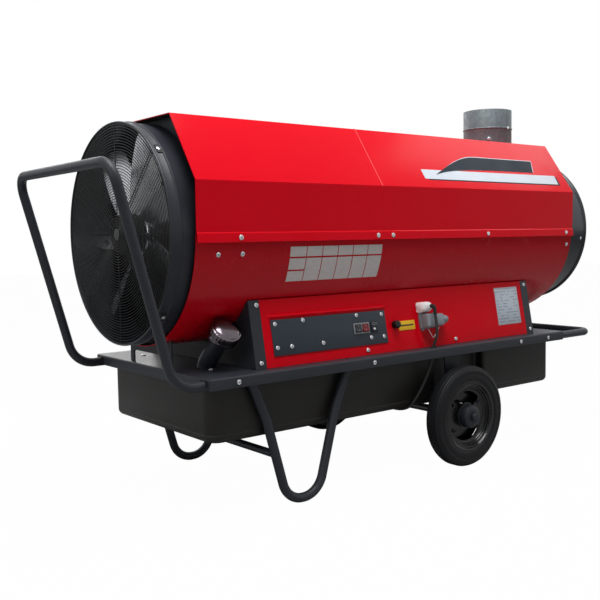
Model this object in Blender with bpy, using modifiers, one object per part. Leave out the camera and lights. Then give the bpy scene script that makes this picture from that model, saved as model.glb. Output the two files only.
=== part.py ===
"""Indirect oil-fired space heater on a wheeled frame, one object for each physical piece.

Metres, +Z up, +X towards the warm-air outlet and -Y towards the control panel.
The origin lies on the floor under the middle of the heater.
"""

import math

import bmesh
import bpy
from mathutils import Vector

# Running gap between pieces that touch, and how far a cutter passes the wall it cuts
GAP = 0.0003
OVERRUN = 0.006
TURN = 2 * math.pi

# Platform: one folded tray, with rails all round
PLATFORM_BACK = -0.615
PLATFORM_FRONT = 0.632
PLATFORM_HALF_WIDTH = 0.278
PLATFORM_TOP = 0.321
PLATFORM_SHEET = 0.0025
RAIL_HEIGHT = 0.025
RAIL_CHAMFER = 0.008

# Bent tubes of the frame
TUBE_RADIUS = 0.011
TUBE_INSET = 0.029
TUBE_DROP = 0.0168

# Casing: a round lower drum, and a roof hood of flat faces
AXIS_HEIGHT = 0.6265
DRUM_RADIUS = 0.2585
CASING_SHEET = 0.002
CASING_BACK = -0.6307
CASING_FRONT = 0.6932
HOOD_SEAM = -0.1007
HOOD_SIDE_STEP = 0.0042
HOOD_ROOF_HALF_WIDTH = 0.1622
HOOD_ROOF_RISE = 0.2571
HOOD_SHOULDER_RISE = 0.1096
HOOD_JOGGLE_DROP = 0.0013
HOOD_FLANGE_DROP = 0.0207

# Plinth between the platform and the drum
PLINTH_BACK = -0.4737
PLINTH_FRONT = 0.530
PLINTH_STRIP = 0.030
PLINTH_SHEET = 0.002
PANEL_SETBACK = 0.036
PANEL_RISE = 0.1535
PANEL_DRUM_GAP = 0.0038

# Wheels
WHEEL_X = 0.168
WHEEL_RADIUS = 0.134
WHEEL_MIDDLE = 0.289
TYRE_WIDTH = 0.045
AXLE_RADIUS = 0.010

# Flue
FLUE_X = 0.6162
FLUE_RADIUS = 0.075
FLUE_TOP = 1.0021

# Power cord
CORD_RADIUS = 0.0036

PLATFORM_UNDER = PLATFORM_TOP - PLATFORM_SHEET
TUBE_Y = PLATFORM_HALF_WIDTH - TUBE_INSET
TUBE_Z = PLATFORM_TOP - TUBE_DROP
HOOD_HALF_WIDTH = DRUM_RADIUS + HOOD_SIDE_STEP
PANEL_FOOT_Y = PLATFORM_HALF_WIDTH - PANEL_SETBACK
PANEL_FOOT_Z = PLATFORM_TOP + GAP
PANEL_TOP_Z = PANEL_FOOT_Z + PANEL_RISE
PANEL_TOP_Y = math.sqrt(DRUM_RADIUS**2 - (AXIS_HEIGHT - PANEL_TOP_Z) ** 2) + PANEL_DRUM_GAP
PANEL_TILT = math.atan2(PANEL_RISE, PANEL_FOOT_Y - PANEL_TOP_Y)
PANEL_LENGTH = math.hypot(PANEL_RISE, PANEL_FOOT_Y - PANEL_TOP_Y)

for old in list(bpy.data.objects):
    bpy.data.objects.remove(old, do_unlink=True)
parts = bpy.data.collections.new("indirect_heater")
cutters = bpy.data.collections.new("cutters")
cutters.hide_render = True
for collection in (parts, cutters):
    bpy.context.scene.collection.children.link(collection)

ALONG_X = (math.pi / 2, 0, math.pi / 2)  # an outline's own x, y and z lie on Y, Z and X
ALONG_Y = (math.pi / 2, 0, 0)  # its own x, y and z lie on X, Z and -Y
AXIS_X = (0, math.pi / 2, 0)  # a turned piece's own z lies on X
AXIS_Y = (-math.pi / 2, 0, 0)  # a turned piece's own z lies on Y
AXIS_NEAR = (math.pi / 2, 0, 0)  # a turned piece's own z lies on -Y


def paint(name, colour, roughness, metallic=0.0):
    material = bpy.data.materials.new(name)
    material.use_nodes = True
    shader = material.node_tree.nodes["Principled BSDF"]
    shader.inputs["Base Color"].default_value = (*colour, 1)
    shader.inputs["Roughness"].default_value = roughness
    shader.inputs["Metallic"].default_value = metallic
    return material


def red_paint(name):
    return paint(name, (0.62, 0.008, 0.02), 0.28)


def black_paint(name):
    return paint(name, (0.03, 0.034, 0.042), 0.42)


def place(obj, name, material, location=(0, 0, 0), rotation=(0, 0, 0), parent=None):
    """Names an object, and puts it among the parts, or among the cutters if it has no material."""
    obj.name = name
    for collection in list(obj.users_collection):
        collection.objects.unlink(obj)
    (parts if material else cutters).objects.link(obj)
    obj.location, obj.rotation_euler, obj.parent = location, rotation, parent
    if material:
        obj.data.materials.append(material)
    else:
        obj.hide_render = True
        obj.display_type = "WIRE"
    return obj


def box(name, low, high, material=None, parent=None, rotation=(0, 0, 0), bevel=0.0, segments=1):
    """A cube primitive between two corners, with its own origin in its middle."""
    low, high = Vector(low), Vector(high)
    mesh = bpy.data.meshes.new(name)
    cube = bmesh.new()
    bmesh.ops.create_cube(cube, size=1)
    bmesh.ops.scale(cube, verts=cube.verts, vec=high - low)
    cube.to_mesh(mesh)
    cube.free()
    obj = place(bpy.data.objects.new(name, mesh), name, material, (low + high) / 2, rotation, parent)
    if bevel:
        edge = obj.modifiers.new("edges", "BEVEL")
        edge.width, edge.segments = bevel, segments
    return obj


def rod(name, radius, low, high, centre, rotation=(0, 0, 0), material=None, parent=None, sides=16, tip=None):
    """A cone primitive of equal or unlike ends, from low to high along its own z."""
    mesh = bpy.data.meshes.new(name)
    cone = bmesh.new()
    tip = radius if tip is None else tip
    bmesh.ops.create_cone(cone, cap_ends=True, segments=sides, radius1=radius, radius2=tip, depth=high - low)
    bmesh.ops.translate(cone, verts=cone.verts, vec=(0, 0, (low + high) / 2))
    cone.to_mesh(mesh)
    cone.free()
    obj = place(bpy.data.objects.new(name, mesh), name, material, centre, rotation, parent)
    return smooth(obj)


def smooth(obj):
    obj.data.shade_smooth()
    obj.data.set_sharp_from_angle(angle=math.radians(35))
    return obj


def turned(name, profile, centre, rotation=(0, 0, 0), material=None, parent=None, steps=32):
    """A Screw modifier on a profile of (radius, height), which runs down its outer side.

    A profile that starts and ends on the axis stays open there; any other is closed.
    """
    mesh = bpy.data.meshes.new(name)
    count = len(profile)
    closed = profile[0][0] > 0 or profile[-1][0] > 0
    edges = [(i, (i + 1) % count) for i in range(count if closed else count - 1)]
    mesh.from_pydata([(r, 0, h) for r, h in profile], edges, [])
    obj = place(bpy.data.objects.new(name, mesh), name, material, centre, rotation, parent)
    screw = obj.modifiers.new("turn", "SCREW")
    screw.steps = screw.render_steps = steps
    screw.use_merge_vertices = True
    screw.merge_threshold = 0.00001
    screw.use_smooth_shade = True
    return obj


def outline(name, points, low, high, rotation, material=None, parent=None, centre=(0, 0, 0)):
    """A flat closed outline, as thick as low to high along its own z. It is made a mesh, so that it can be cut."""
    curve = bpy.data.curves.new(name, "CURVE")
    curve.dimensions, curve.fill_mode = "2D", "BOTH"
    curve.extrude = (high - low) / 2
    spline = curve.splines.new("POLY")
    spline.points.add(len(points) - 1)
    for point, (x, y) in zip(spline.points, points):
        point.co = (x, y, 0, 1)
    spline.use_cyclic_u = True
    obj = place(bpy.data.objects.new(name, curve), name, None)
    return meshed(obj, name, material, centre, rotation, parent, shift=(0, 0, (low + high) / 2))


def pipe(name, points, radius, material=None, parent=None, resolution=3):
    """A round tube along points, made a mesh."""
    curve = bpy.data.curves.new(name, "CURVE")
    curve.dimensions, curve.bevel_depth = "3D", radius
    curve.bevel_resolution, curve.use_fill_caps = resolution, True
    spline = curve.splines.new("POLY")
    spline.points.add(len(points) - 1)
    for point, place_ in zip(spline.points, points):
        point.co = (*place_, 1)
    obj = place(bpy.data.objects.new(name, curve), name, None)
    return smooth(meshed(obj, name, material, parent=parent))


def meshed(obj, name, material, location=(0, 0, 0), rotation=(0, 0, 0), parent=None, shift=(0, 0, 0)):
    """The mesh of a curve object with its caps welded, in place of the curve."""
    graph = bpy.context.evaluated_depsgraph_get()
    mesh = bpy.data.meshes.new_from_object(obj.evaluated_get(graph))
    weld = bmesh.new()
    weld.from_mesh(mesh)
    bmesh.ops.remove_doubles(weld, verts=weld.verts, dist=GAP / 30)
    bmesh.ops.translate(weld, verts=weld.verts, vec=shift)
    weld.to_mesh(mesh)
    weld.free()
    bpy.data.objects.remove(obj, do_unlink=True)
    return place(bpy.data.objects.new(name, mesh), name, material, location, rotation, parent)


def cut(obj, *others, operation="DIFFERENCE"):
    for other in others:
        boolean = obj.modifiers.new(other.name, "BOOLEAN")
        boolean.operation, boolean.solver, boolean.object = operation, "EXACT", other
    return obj


def join(obj, *others):
    return cut(obj, *others, operation="UNION")


def corner(before, at, after, radius, steps=5):
    """Points of the arc that rounds a corner of a path."""
    before, at, after = Vector(before), Vector(at), Vector(after)
    first, second = (before - at).normalized(), (after - at).normalized()
    half = first.angle(second) / 2
    middle = at + (first + second).normalized() * radius / math.sin(half)
    start = at + first * radius / math.tan(half)
    spoke = start - middle
    swing = (math.pi - 2 * half) / steps
    normal = first.cross(second).normalized()
    arm = normal.cross(spoke)
    return [middle - arm * math.sin(k * swing) + spoke * math.cos(k * swing) for k in range(steps + 1)]


def bent(points, radii, steps=4):
    """A path through points, with each inner corner rounded to its radius."""
    path = [Vector(points[0])]
    for i, radius in enumerate(radii, 1):
        path += corner(points[i - 1], points[i], points[i + 1], radius, steps)
    return path + [Vector(points[-1])]


def arc(radius, start, end, steps, rise=0.0):
    """Points on a circle round (0, rise), by angle in degrees."""
    turns = [math.radians(start + (end - start) * k / steps) for k in range(steps + 1)]
    return [(radius * math.cos(a), rise + radius * math.sin(a)) for a in turns]


def thick(points, wall):
    """The closed outline of a bent sheet: a line, and the same line moved to its right by the wall."""
    points = [Vector(p) for p in points]
    moved = []
    for i, point in enumerate(points):
        before = (point - points[i - 1]).normalized() if i else (points[1] - point).normalized()
        after = (points[i + 1] - point).normalized() if i + 1 < len(points) else before
        right = [Vector((d.y, -d.x)) for d in (before, after)]
        mitre = (right[0] + right[1]).normalized()
        moved.append(point + mitre * wall / mitre.dot(right[0]))
    return [tuple(p) for p in points + moved[::-1]]


# Platform tray, with notches for the tubes, holes for the filler, the fuel line and the cord, and its screws
NOTCH_GAP = 0.0025
FILLER_X = -0.5297
FILLER_Y = -0.122
FILLER_RADIUS = 0.021
FILLER_HOLE_GAP = 0.0025
CORD_HOLE_X = 0.078
CORD_HOLE_INSET = 0.016
CORD_HOLE_RADIUS = 0.0075
FUEL_LINE_X = -0.16
FUEL_LINE_Y = 0.06
FUEL_LINE_RADIUS = 0.004
SCREW_RADIUS = 0.0055
SCREW_HEAD = 0.003
SCREW_DROP = 0.013
HANDLE_REACH = 0.093
TOW_BAR_REACH = 0.232
handle_screw_share = 0.75
middle_screw_share = 0.374
tow_screw_shares = (0.905, 0.351)
rail_screw_x = {
    "handle": PLATFORM_BACK + HANDLE_REACH * handle_screw_share,
    "middle": PLATFORM_BACK + (PLATFORM_FRONT - PLATFORM_BACK) * middle_screw_share,
    "tow": PLATFORM_FRONT - TOW_BAR_REACH * tow_screw_shares[0],
    "tow_end": PLATFORM_FRONT - TOW_BAR_REACH * tow_screw_shares[1],
}
CORD_HOLE_Y = PLATFORM_HALF_WIDTH - CORD_HOLE_INSET
platform = box(
    "platform",
    (PLATFORM_BACK, -PLATFORM_HALF_WIDTH, PLATFORM_TOP - RAIL_HEIGHT),
    (PLATFORM_FRONT, PLATFORM_HALF_WIDTH, PLATFORM_TOP),
    black_paint("platform_black"),
)
cut(
    platform,
    box(
        "tray_hollow",
        (
            PLATFORM_BACK + PLATFORM_SHEET,
            -PLATFORM_HALF_WIDTH + PLATFORM_SHEET,
            PLATFORM_TOP - RAIL_HEIGHT - OVERRUN,
        ),
        (PLATFORM_FRONT - PLATFORM_SHEET, PLATFORM_HALF_WIDTH - PLATFORM_SHEET, PLATFORM_UNDER),
    ),
)
for end, x in (("back", PLATFORM_BACK), ("front", PLATFORM_FRONT)):
    for side, y in (("near", -TUBE_Y), ("far", TUBE_Y)):
        half = TUBE_RADIUS + NOTCH_GAP
        cut(
            platform,
            box(
                f"tube_notch_{end}_{side}",
                (x - OVERRUN, y - half, PLATFORM_TOP - RAIL_HEIGHT - OVERRUN),
                (x + OVERRUN, y + half, TUBE_Z + TUBE_RADIUS + GAP),
            ),
        )
chamfer_points = [
    (PLATFORM_FRONT - RAIL_CHAMFER, PLATFORM_TOP - RAIL_HEIGHT - OVERRUN),
    (PLATFORM_FRONT - RAIL_CHAMFER, PLATFORM_TOP - RAIL_HEIGHT),
    (PLATFORM_FRONT, PLATFORM_TOP - RAIL_HEIGHT / 2),
    (PLATFORM_FRONT + OVERRUN, PLATFORM_TOP - RAIL_HEIGHT / 2),
    (PLATFORM_FRONT + OVERRUN, PLATFORM_TOP - RAIL_HEIGHT - OVERRUN),
]
for side, y in (("near", -PLATFORM_HALF_WIDTH), ("far", PLATFORM_HALF_WIDTH)):
    cut(platform, outline(f"rail_chamfer_{side}", chamfer_points, -y - OVERRUN, -y + OVERRUN, ALONG_Y))
cut(
    platform,
    rod("filler_hole", FILLER_RADIUS + FILLER_HOLE_GAP, -OVERRUN, OVERRUN, (FILLER_X, FILLER_Y, PLATFORM_UNDER), sides=24),
    rod("cord_hole", CORD_HOLE_RADIUS, -OVERRUN, OVERRUN, (CORD_HOLE_X, -CORD_HOLE_Y, PLATFORM_UNDER), sides=16),
    rod(
        "fuel_line_hole",
        FUEL_LINE_RADIUS + GAP,
        -OVERRUN,
        OVERRUN,
        (FUEL_LINE_X, FUEL_LINE_Y, PLATFORM_UNDER),
        sides=12,
    ),
)
for use, x in rail_screw_x.items():
    reach = PLATFORM_SHEET * 3 if use == "middle" else PLATFORM_HALF_WIDTH - TUBE_Y - TUBE_RADIUS - GAP
    for side, sign in (("near", -1), ("far", 1)):
        centre = (x, sign * PLATFORM_HALF_WIDTH, PLATFORM_TOP - SCREW_DROP)
        join(
            platform,
            rod(f"rail_screw_{use}_{side}", SCREW_RADIUS, -reach, SCREW_HEAD, centre, (-sign * math.pi / 2, 0, 0), sides=8),
        )

# Push handle at the inlet end: a tube bent into a U, which leans outwards as it rises
HANDLE_FOOT_X = -0.686
HANDLE_TOP_X = -0.8111
HANDLE_TOP = 0.768
HANDLE_FOOT_BEND = 0.065
HANDLE_TOP_BEND = 0.045
handle_path = [
    (PLATFORM_BACK + HANDLE_REACH, -TUBE_Y, TUBE_Z),
    (HANDLE_FOOT_X, -TUBE_Y, TUBE_Z),
    (HANDLE_TOP_X, -TUBE_Y, HANDLE_TOP),
    (HANDLE_TOP_X, TUBE_Y, HANDLE_TOP),
    (HANDLE_FOOT_X, TUBE_Y, TUBE_Z),
    (PLATFORM_BACK + HANDLE_REACH, TUBE_Y, TUBE_Z),
]
handle_bends = [HANDLE_FOOT_BEND, HANDLE_TOP_BEND, HANDLE_TOP_BEND, HANDLE_FOOT_BEND]
pipe("push_handle", bent(handle_path, handle_bends), TUBE_RADIUS, black_paint("handle_black"))

# Tow bar at the outlet end: a flat U of the same tube
TOW_BAR_X = 0.8043
TOW_BAR_BEND = 0.034
tow_path = [
    (PLATFORM_FRONT - TOW_BAR_REACH, -TUBE_Y, TUBE_Z),
    (TOW_BAR_X, -TUBE_Y, TUBE_Z),
    (TOW_BAR_X, TUBE_Y, TUBE_Z),
    (PLATFORM_FRONT - TOW_BAR_REACH, TUBE_Y, TUBE_Z),
]
pipe("tow_bar", bent(tow_path, [TOW_BAR_BEND, TOW_BAR_BEND]), TUBE_RADIUS, black_paint("tow_bar_black"))

# Support legs: a narrow U of tube on each side, and the brace between them
LEG_X = -0.3531
LEG_TOP_HALF = 0.149
LEG_KNEE_HALF = 0.1013
LEG_KNEE_Z = 0.208
LEG_FOOT_HALF = 0.0461
LEG_KNEE_BEND = 0.12
LEG_FOOT_BEND = 0.058
LEG_TOP_Z = PLATFORM_UNDER - GAP
BRACE_Z = 0.126
BRACE_RADIUS = 0.009
for side, sign in (("near", -1), ("far", 1)):
    y = sign * TUBE_Y
    leg_path = [
        (LEG_X - LEG_TOP_HALF, y, LEG_TOP_Z),
        (LEG_X - LEG_KNEE_HALF, y, LEG_KNEE_Z),
        (LEG_X - LEG_FOOT_HALF, y, TUBE_RADIUS),
        (LEG_X + LEG_FOOT_HALF, y, TUBE_RADIUS),
        (LEG_X + LEG_KNEE_HALF, y, LEG_KNEE_Z),
        (LEG_X + LEG_TOP_HALF, y, LEG_TOP_Z),
    ]
    leg = pipe(
        f"support_leg_{side}",
        bent(leg_path, [LEG_KNEE_BEND, LEG_FOOT_BEND, LEG_FOOT_BEND, LEG_KNEE_BEND], 5),
        TUBE_RADIUS,
        black_paint(f"leg_{side}_black"),
    )
    cut(
        leg,
        box(
            f"leg_top_trim_{side}",
            (LEG_X - LEG_TOP_HALF * 2, y - TUBE_RADIUS * 2, LEG_TOP_Z),
            (LEG_X + LEG_TOP_HALF * 2, y + TUBE_RADIUS * 2, LEG_TOP_Z + TUBE_RADIUS * 2),
        ),
    )
brace_share = (BRACE_Z - TUBE_RADIUS) / (LEG_KNEE_Z - TUBE_RADIUS)
BRACE_X = LEG_X - LEG_FOOT_HALF - (LEG_KNEE_HALF - LEG_FOOT_HALF) * brace_share
brace_half = TUBE_Y - TUBE_RADIUS - GAP
rod(
    "leg_cross_brace",
    BRACE_RADIUS,
    -brace_half,
    brace_half,
    (BRACE_X, 0, BRACE_Z),
    AXIS_Y,
    black_paint("brace_black"),
    sides=12,
)

# Axle, the brackets that carry it, and its end nuts
AXLE_HOLE_GAP = 0.0003
BRACKET_SHEET = 0.004
BRACKET_HALF_LENGTH = 0.032
BRACKET_INSET = 0.034
BRACKET_FOOT_RADIUS = 0.022
HUB_FACE = 0.0305
NUT_RADIUS = 0.0125
NUT_LENGTH = 0.0105
HUB_OUT_Y = WHEEL_MIDDLE + HUB_FACE
AXLE_HALF = HUB_OUT_Y + NUT_LENGTH * 0.6
axle_centre = (WHEEL_X, 0, WHEEL_RADIUS)
rod(
    "axle",
    AXLE_RADIUS,
    -AXLE_HALF,
    AXLE_HALF,
    axle_centre,
    AXIS_Y,
    paint("axle_steel", (0.35, 0.35, 0.36), 0.4, 1.0),
    sides=24,
)
bracket_points = [
    (WHEEL_X - BRACKET_HALF_LENGTH, PLATFORM_UNDER - GAP),
    *arc(BRACKET_FOOT_RADIUS, 180, 360, 8, 0),
    (WHEEL_X + BRACKET_HALF_LENGTH, PLATFORM_UNDER - GAP),
]
bracket_points[1:-1] = [(WHEEL_X + x, WHEEL_RADIUS + z) for x, z in bracket_points[1:-1]]
BRACKET_Y = PLATFORM_HALF_WIDTH - BRACKET_INSET
for side, sign in (("near", -1), ("far", 1)):
    middle = -sign * BRACKET_Y
    bracket = outline(
        f"axle_bracket_{side}",
        bracket_points,
        middle - BRACKET_SHEET / 2,
        middle + BRACKET_SHEET / 2,
        ALONG_Y,
        black_paint(f"bracket_{side}_black"),
    )
    cut(
        bracket,
        rod(
            f"bracket_hole_{side}",
            AXLE_RADIUS + AXLE_HOLE_GAP,
            -OVERRUN,
            OVERRUN,
            (WHEEL_X, sign * BRACKET_Y, WHEEL_RADIUS),
            AXIS_Y,
            sides=24,
        ),
    )
    nut_depth = AXLE_HALF - HUB_OUT_Y
    turned(
        f"axle_nut_{side}",
        [
            (0, NUT_LENGTH),
            (NUT_RADIUS * 0.6, NUT_LENGTH),
            (NUT_RADIUS, NUT_LENGTH * 0.7),
            (NUT_RADIUS, GAP),
            (AXLE_RADIUS + AXLE_HOLE_GAP, GAP),
            (AXLE_RADIUS + AXLE_HOLE_GAP, nut_depth + GAP),
            (0, nut_depth + GAP),
        ],
        (WHEEL_X, sign * HUB_OUT_Y, WHEEL_RADIUS),
        AXIS_Y if sign > 0 else AXIS_NEAR,
        paint(f"axle_nut_{side}_black", (0.04, 0.045, 0.055), 0.4, 0.3),
        steps=20,
    )

# Wheels: a rim with its hub and dished disc, and a tyre round it
RIM_RADIUS = 0.0945
RIM_HALF_WIDTH = 0.0205
RIM_SHEET = 0.003
RIM_STEP = 0.008
DISC_SHEET = 0.004
HUB_RADIUS = 0.030
HUB_BACK = 0.020
HUB_ROUND = 0.003
WINDOW_INNER = 0.036
WINDOW_OUTER = 0.066
WINDOW_ANGLE = 96
WINDOW_STEPS = 5
TYRE_FACE_RADIUS = 0.119
TYRE_SHOULDER = 0.016
WHEEL_STEPS = 32
rim_profile = [
    (RIM_RADIUS, RIM_HALF_WIDTH),
    (RIM_RADIUS, -RIM_HALF_WIDTH),
    (RIM_RADIUS - RIM_STEP, -RIM_HALF_WIDTH),
    (RIM_RADIUS - RIM_STEP * 2.5, 0),
    (HUB_RADIUS, 0),
    (HUB_RADIUS, -HUB_BACK),
    (AXLE_RADIUS + AXLE_HOLE_GAP, -HUB_BACK),
    (AXLE_RADIUS + AXLE_HOLE_GAP, HUB_FACE),
    (HUB_RADIUS - HUB_ROUND, HUB_FACE),
    (HUB_RADIUS, HUB_FACE - HUB_ROUND),
    (HUB_RADIUS, DISC_SHEET),
    (RIM_RADIUS - RIM_STEP * 2.5, DISC_SHEET),
    (RIM_RADIUS - RIM_STEP * 1.5, RIM_HALF_WIDTH / 2),
    (RIM_RADIUS - RIM_STEP / 2, RIM_HALF_WIDTH),
]
half_tyre = TYRE_WIDTH / 2
bead = RIM_RADIUS + GAP
tyre_profile = [
    (TYRE_FACE_RADIUS, half_tyre),
    (WHEEL_RADIUS - TYRE_SHOULDER * 0.3, half_tyre - TYRE_SHOULDER * 0.3),
    (WHEEL_RADIUS, half_tyre - TYRE_SHOULDER),
    (WHEEL_RADIUS, -half_tyre + TYRE_SHOULDER),
    (WHEEL_RADIUS - TYRE_SHOULDER * 0.3, -half_tyre + TYRE_SHOULDER * 0.3),
    (TYRE_FACE_RADIUS, -half_tyre),
    (bead, -RIM_HALF_WIDTH),
    (bead, RIM_HALF_WIDTH),
]
for side, sign in (("near", -1), ("far", 1)):
    wheel_centre = (WHEEL_X, sign * WHEEL_MIDDLE, WHEEL_RADIUS)
    outward = AXIS_Y if sign > 0 else AXIS_NEAR
    hub = bpy.data.objects.new(f"wheel_{side}_axis", None)
    parts.objects.link(hub)
    hub.location, hub.rotation_euler = wheel_centre, outward
    rim = turned(
        f"wheel_rim_{side}",
        rim_profile,
        (0, 0, 0),
        material=paint(f"rim_{side}_black", (0.02, 0.022, 0.028), 0.35),
        parent=hub,
        steps=WHEEL_STEPS,
    )
    for window, middle_angle in (("top", 90), ("bottom", 270)):
        window_points = arc(
            WINDOW_OUTER, middle_angle - WINDOW_ANGLE / 2, middle_angle + WINDOW_ANGLE / 2, WINDOW_STEPS
        ) + arc(WINDOW_INNER, middle_angle + WINDOW_ANGLE / 2, middle_angle - WINDOW_ANGLE / 2, WINDOW_STEPS)
        cut(rim, outline(f"wheel_window_{window}_{side}", window_points, -OVERRUN, DISC_SHEET + OVERRUN, (0, 0, 0), parent=hub))
    turned(
        f"wheel_tyre_{side}",
        tyre_profile,
        (0, 0, 0),
        material=paint(f"tyre_{side}_rubber", (0.028, 0.03, 0.034), 0.55),
        parent=hub,
        steps=WHEEL_STEPS,
    )

# Fuel tank under the platform: a moulded box with rounded corners, hollow, recessed beside the wheels
TANK_BACK = -0.5907
TANK_FRONT = 0.6143
TANK_HALF_WIDTH = 0.235
TANK_BOTTOM = 0.168
TANK_WALL = 0.004
TANK_CORNER = 0.034
TANK_RECESS_HALF = 0.17
TANK_RECESS_DEPTH = 0.030
TANK_TOP = PLATFORM_UNDER - GAP


def tank_block(name, inset, material=None):
    """The tank's outer shape, moved in by an inset on every side but kept rounded."""
    return box(
        name,
        (TANK_BACK + inset, -TANK_HALF_WIDTH + inset, TANK_BOTTOM + inset),
        (TANK_FRONT - inset, TANK_HALF_WIDTH - inset, TANK_TOP - inset),
        material,
        bevel=TANK_CORNER - inset,
        segments=3,
    )


def round_upright_edges(block):
    """Bevels only the upright edges and those at the bottom, by bevel weight."""
    mesh = block.data
    weights = mesh.attributes.new("bevel_weight_edge", "FLOAT", "EDGE")
    for edge, weight in zip(mesh.edges, weights.data):
        ends = [mesh.vertices[i].co.z for i in edge.vertices]
        weight.value = 0.0 if min(ends) > 0 else (0.45 if max(ends) < 0 else 1.0)
    block.modifiers["edges"].limit_method = "WEIGHT"
    return block


def recess_boxes(label, grow):
    """The blocks beside both wheels that the tank stays clear of."""
    found = []
    for side, sign in (("near", -1), ("far", 1)):
        inner = sign * (TANK_HALF_WIDTH - TANK_RECESS_DEPTH - grow)
        outer = sign * (TANK_HALF_WIDTH + OVERRUN)
        found.append(
            box(
                f"{label}_{side}",
                (WHEEL_X - TANK_RECESS_HALF - grow, min(inner, outer), TANK_BOTTOM - OVERRUN),
                (WHEEL_X + TANK_RECESS_HALF + grow, max(inner, outer), TANK_TOP + OVERRUN),
                bevel=OVERRUN,
            )
        )
    return found


tank = round_upright_edges(tank_block("fuel_tank", 0, paint("tank_black", (0.03, 0.032, 0.036), 0.5)))
tank_hollow = round_upright_edges(tank_block("tank_hollow", TANK_WALL))
cut(tank_hollow, *recess_boxes("hollow_recess", TANK_WALL))
cut(tank, *recess_boxes("tank_recess", 0), tank_hollow)
cut(
    tank,
    rod(
        "tank_mouth",
        FILLER_RADIUS + GAP,
        -TANK_WALL - OVERRUN,
        OVERRUN,
        (FILLER_X, FILLER_Y, TANK_TOP),
        sides=24,
    ),
    rod(
        "tank_outlet",
        FUEL_LINE_RADIUS + GAP,
        -TANK_WALL - OVERRUN,
        OVERRUN,
        (FUEL_LINE_X, FUEL_LINE_Y, TANK_TOP),
        sides=12,
    ),
)

# Filler neck: it rises from the tank through the platform, then leans out to the near side
NECK_WALL = 0.002
NECK_KNEE = 0.008
NECK_LENGTH = 0.110
NECK_BEND = 0.024
NECK_COLLAR_RADIUS = 0.0305
NECK_COLLAR_LENGTH = 0.014
neck_lean = math.radians(46)
neck_direction = Vector((0, -math.sin(neck_lean), math.cos(neck_lean)))
neck_knee = Vector((FILLER_X, FILLER_Y, PLATFORM_TOP + NECK_KNEE))
neck_foot = Vector((FILLER_X, FILLER_Y, TANK_TOP - TANK_WALL))
neck_mouth = neck_knee + neck_direction * NECK_LENGTH
neck_path = bent([neck_foot, neck_knee, neck_mouth], [NECK_BEND], 4)
neck_bore = [neck_foot - Vector((0, 0, OVERRUN))] + neck_path[1:-1] + [neck_mouth + neck_direction * OVERRUN]
neck_axis = bpy.data.objects.new("filler_axis", None)
parts.objects.link(neck_axis)
neck_axis.location, neck_axis.rotation_euler = neck_mouth, (neck_lean, 0, 0)
neck = pipe("filler_neck", neck_path, FILLER_RADIUS, black_paint("neck_black"), resolution=6)
join(
    neck,
    rod("neck_collar", NECK_COLLAR_RADIUS, -NECK_COLLAR_LENGTH, -GAP, (0, 0, 0), parent=neck_axis, sides=24),
)
cut(neck, pipe("neck_bore", neck_bore, FILLER_RADIUS - NECK_WALL, resolution=4))

# Filler cap: a core that seats in the neck, and a chromed shell that turns on it
CAP_RADIUS = 0.0355
CAP_HEIGHT = 0.017
CAP_DOME = 0.004
CAP_WALL = 0.0015
CAP_STEM_RADIUS = 0.015
CAP_STEM_DEPTH = 0.016
CAP_CORE_TOP = 0.010
CAP_SKIRT = 0.012
core_radius = NECK_COLLAR_RADIUS
turned(
    "filler_cap_core",
    [
        (0, CAP_CORE_TOP),
        (core_radius, CAP_CORE_TOP),
        (core_radius, 0),
        (CAP_STEM_RADIUS, 0),
        (CAP_STEM_RADIUS, -CAP_STEM_DEPTH),
        (0, -CAP_STEM_DEPTH),
    ],
    (0, 0, 0),
    material=paint("cap_core_black", (0.03, 0.03, 0.03), 0.5),
    parent=neck_axis,
    steps=24,
)
turned(
    "filler_cap_shell",
    [
        (0, CAP_HEIGHT),
        (CAP_RADIUS * 0.6, CAP_HEIGHT - CAP_DOME * 0.3),
        (CAP_RADIUS - CAP_WALL, CAP_HEIGHT - CAP_DOME),
        (CAP_RADIUS, CAP_HEIGHT - CAP_DOME - CAP_WALL),
        (CAP_RADIUS, -CAP_SKIRT),
        (core_radius + GAP, -CAP_SKIRT),
        (core_radius + GAP, CAP_CORE_TOP + GAP),
        (0, CAP_CORE_TOP + GAP),
    ],
    (0, 0, 0),
    material=paint("cap_chrome", (0.75, 0.75, 0.75), 0.15, 1.0),
    parent=neck_axis,
    steps=32,
)

# Lower drum: a half-round trough
DRUM_EDGE_DROP = 0.0015
edge_angle = math.degrees(math.asin(DRUM_EDGE_DROP / DRUM_RADIUS))
drum_points = arc(DRUM_RADIUS, 180 + edge_angle, 360 - edge_angle, 24, AXIS_HEIGHT) + arc(
    DRUM_RADIUS - CASING_SHEET, 360 - edge_angle, 180 + edge_angle, 24, AXIS_HEIGHT
)
drum = outline("lower_drum", drum_points, CASING_BACK, CASING_FRONT, ALONG_X, red_paint("drum_red"))
cut(
    drum,
    rod(
        "drum_fuel_hole",
        FUEL_LINE_RADIUS + GAP,
        -DRUM_RADIUS,
        -DRUM_RADIUS / 2,
        (FUEL_LINE_X, FUEL_LINE_Y, AXIS_HEIGHT),
        sides=12,
    ),
)

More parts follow.
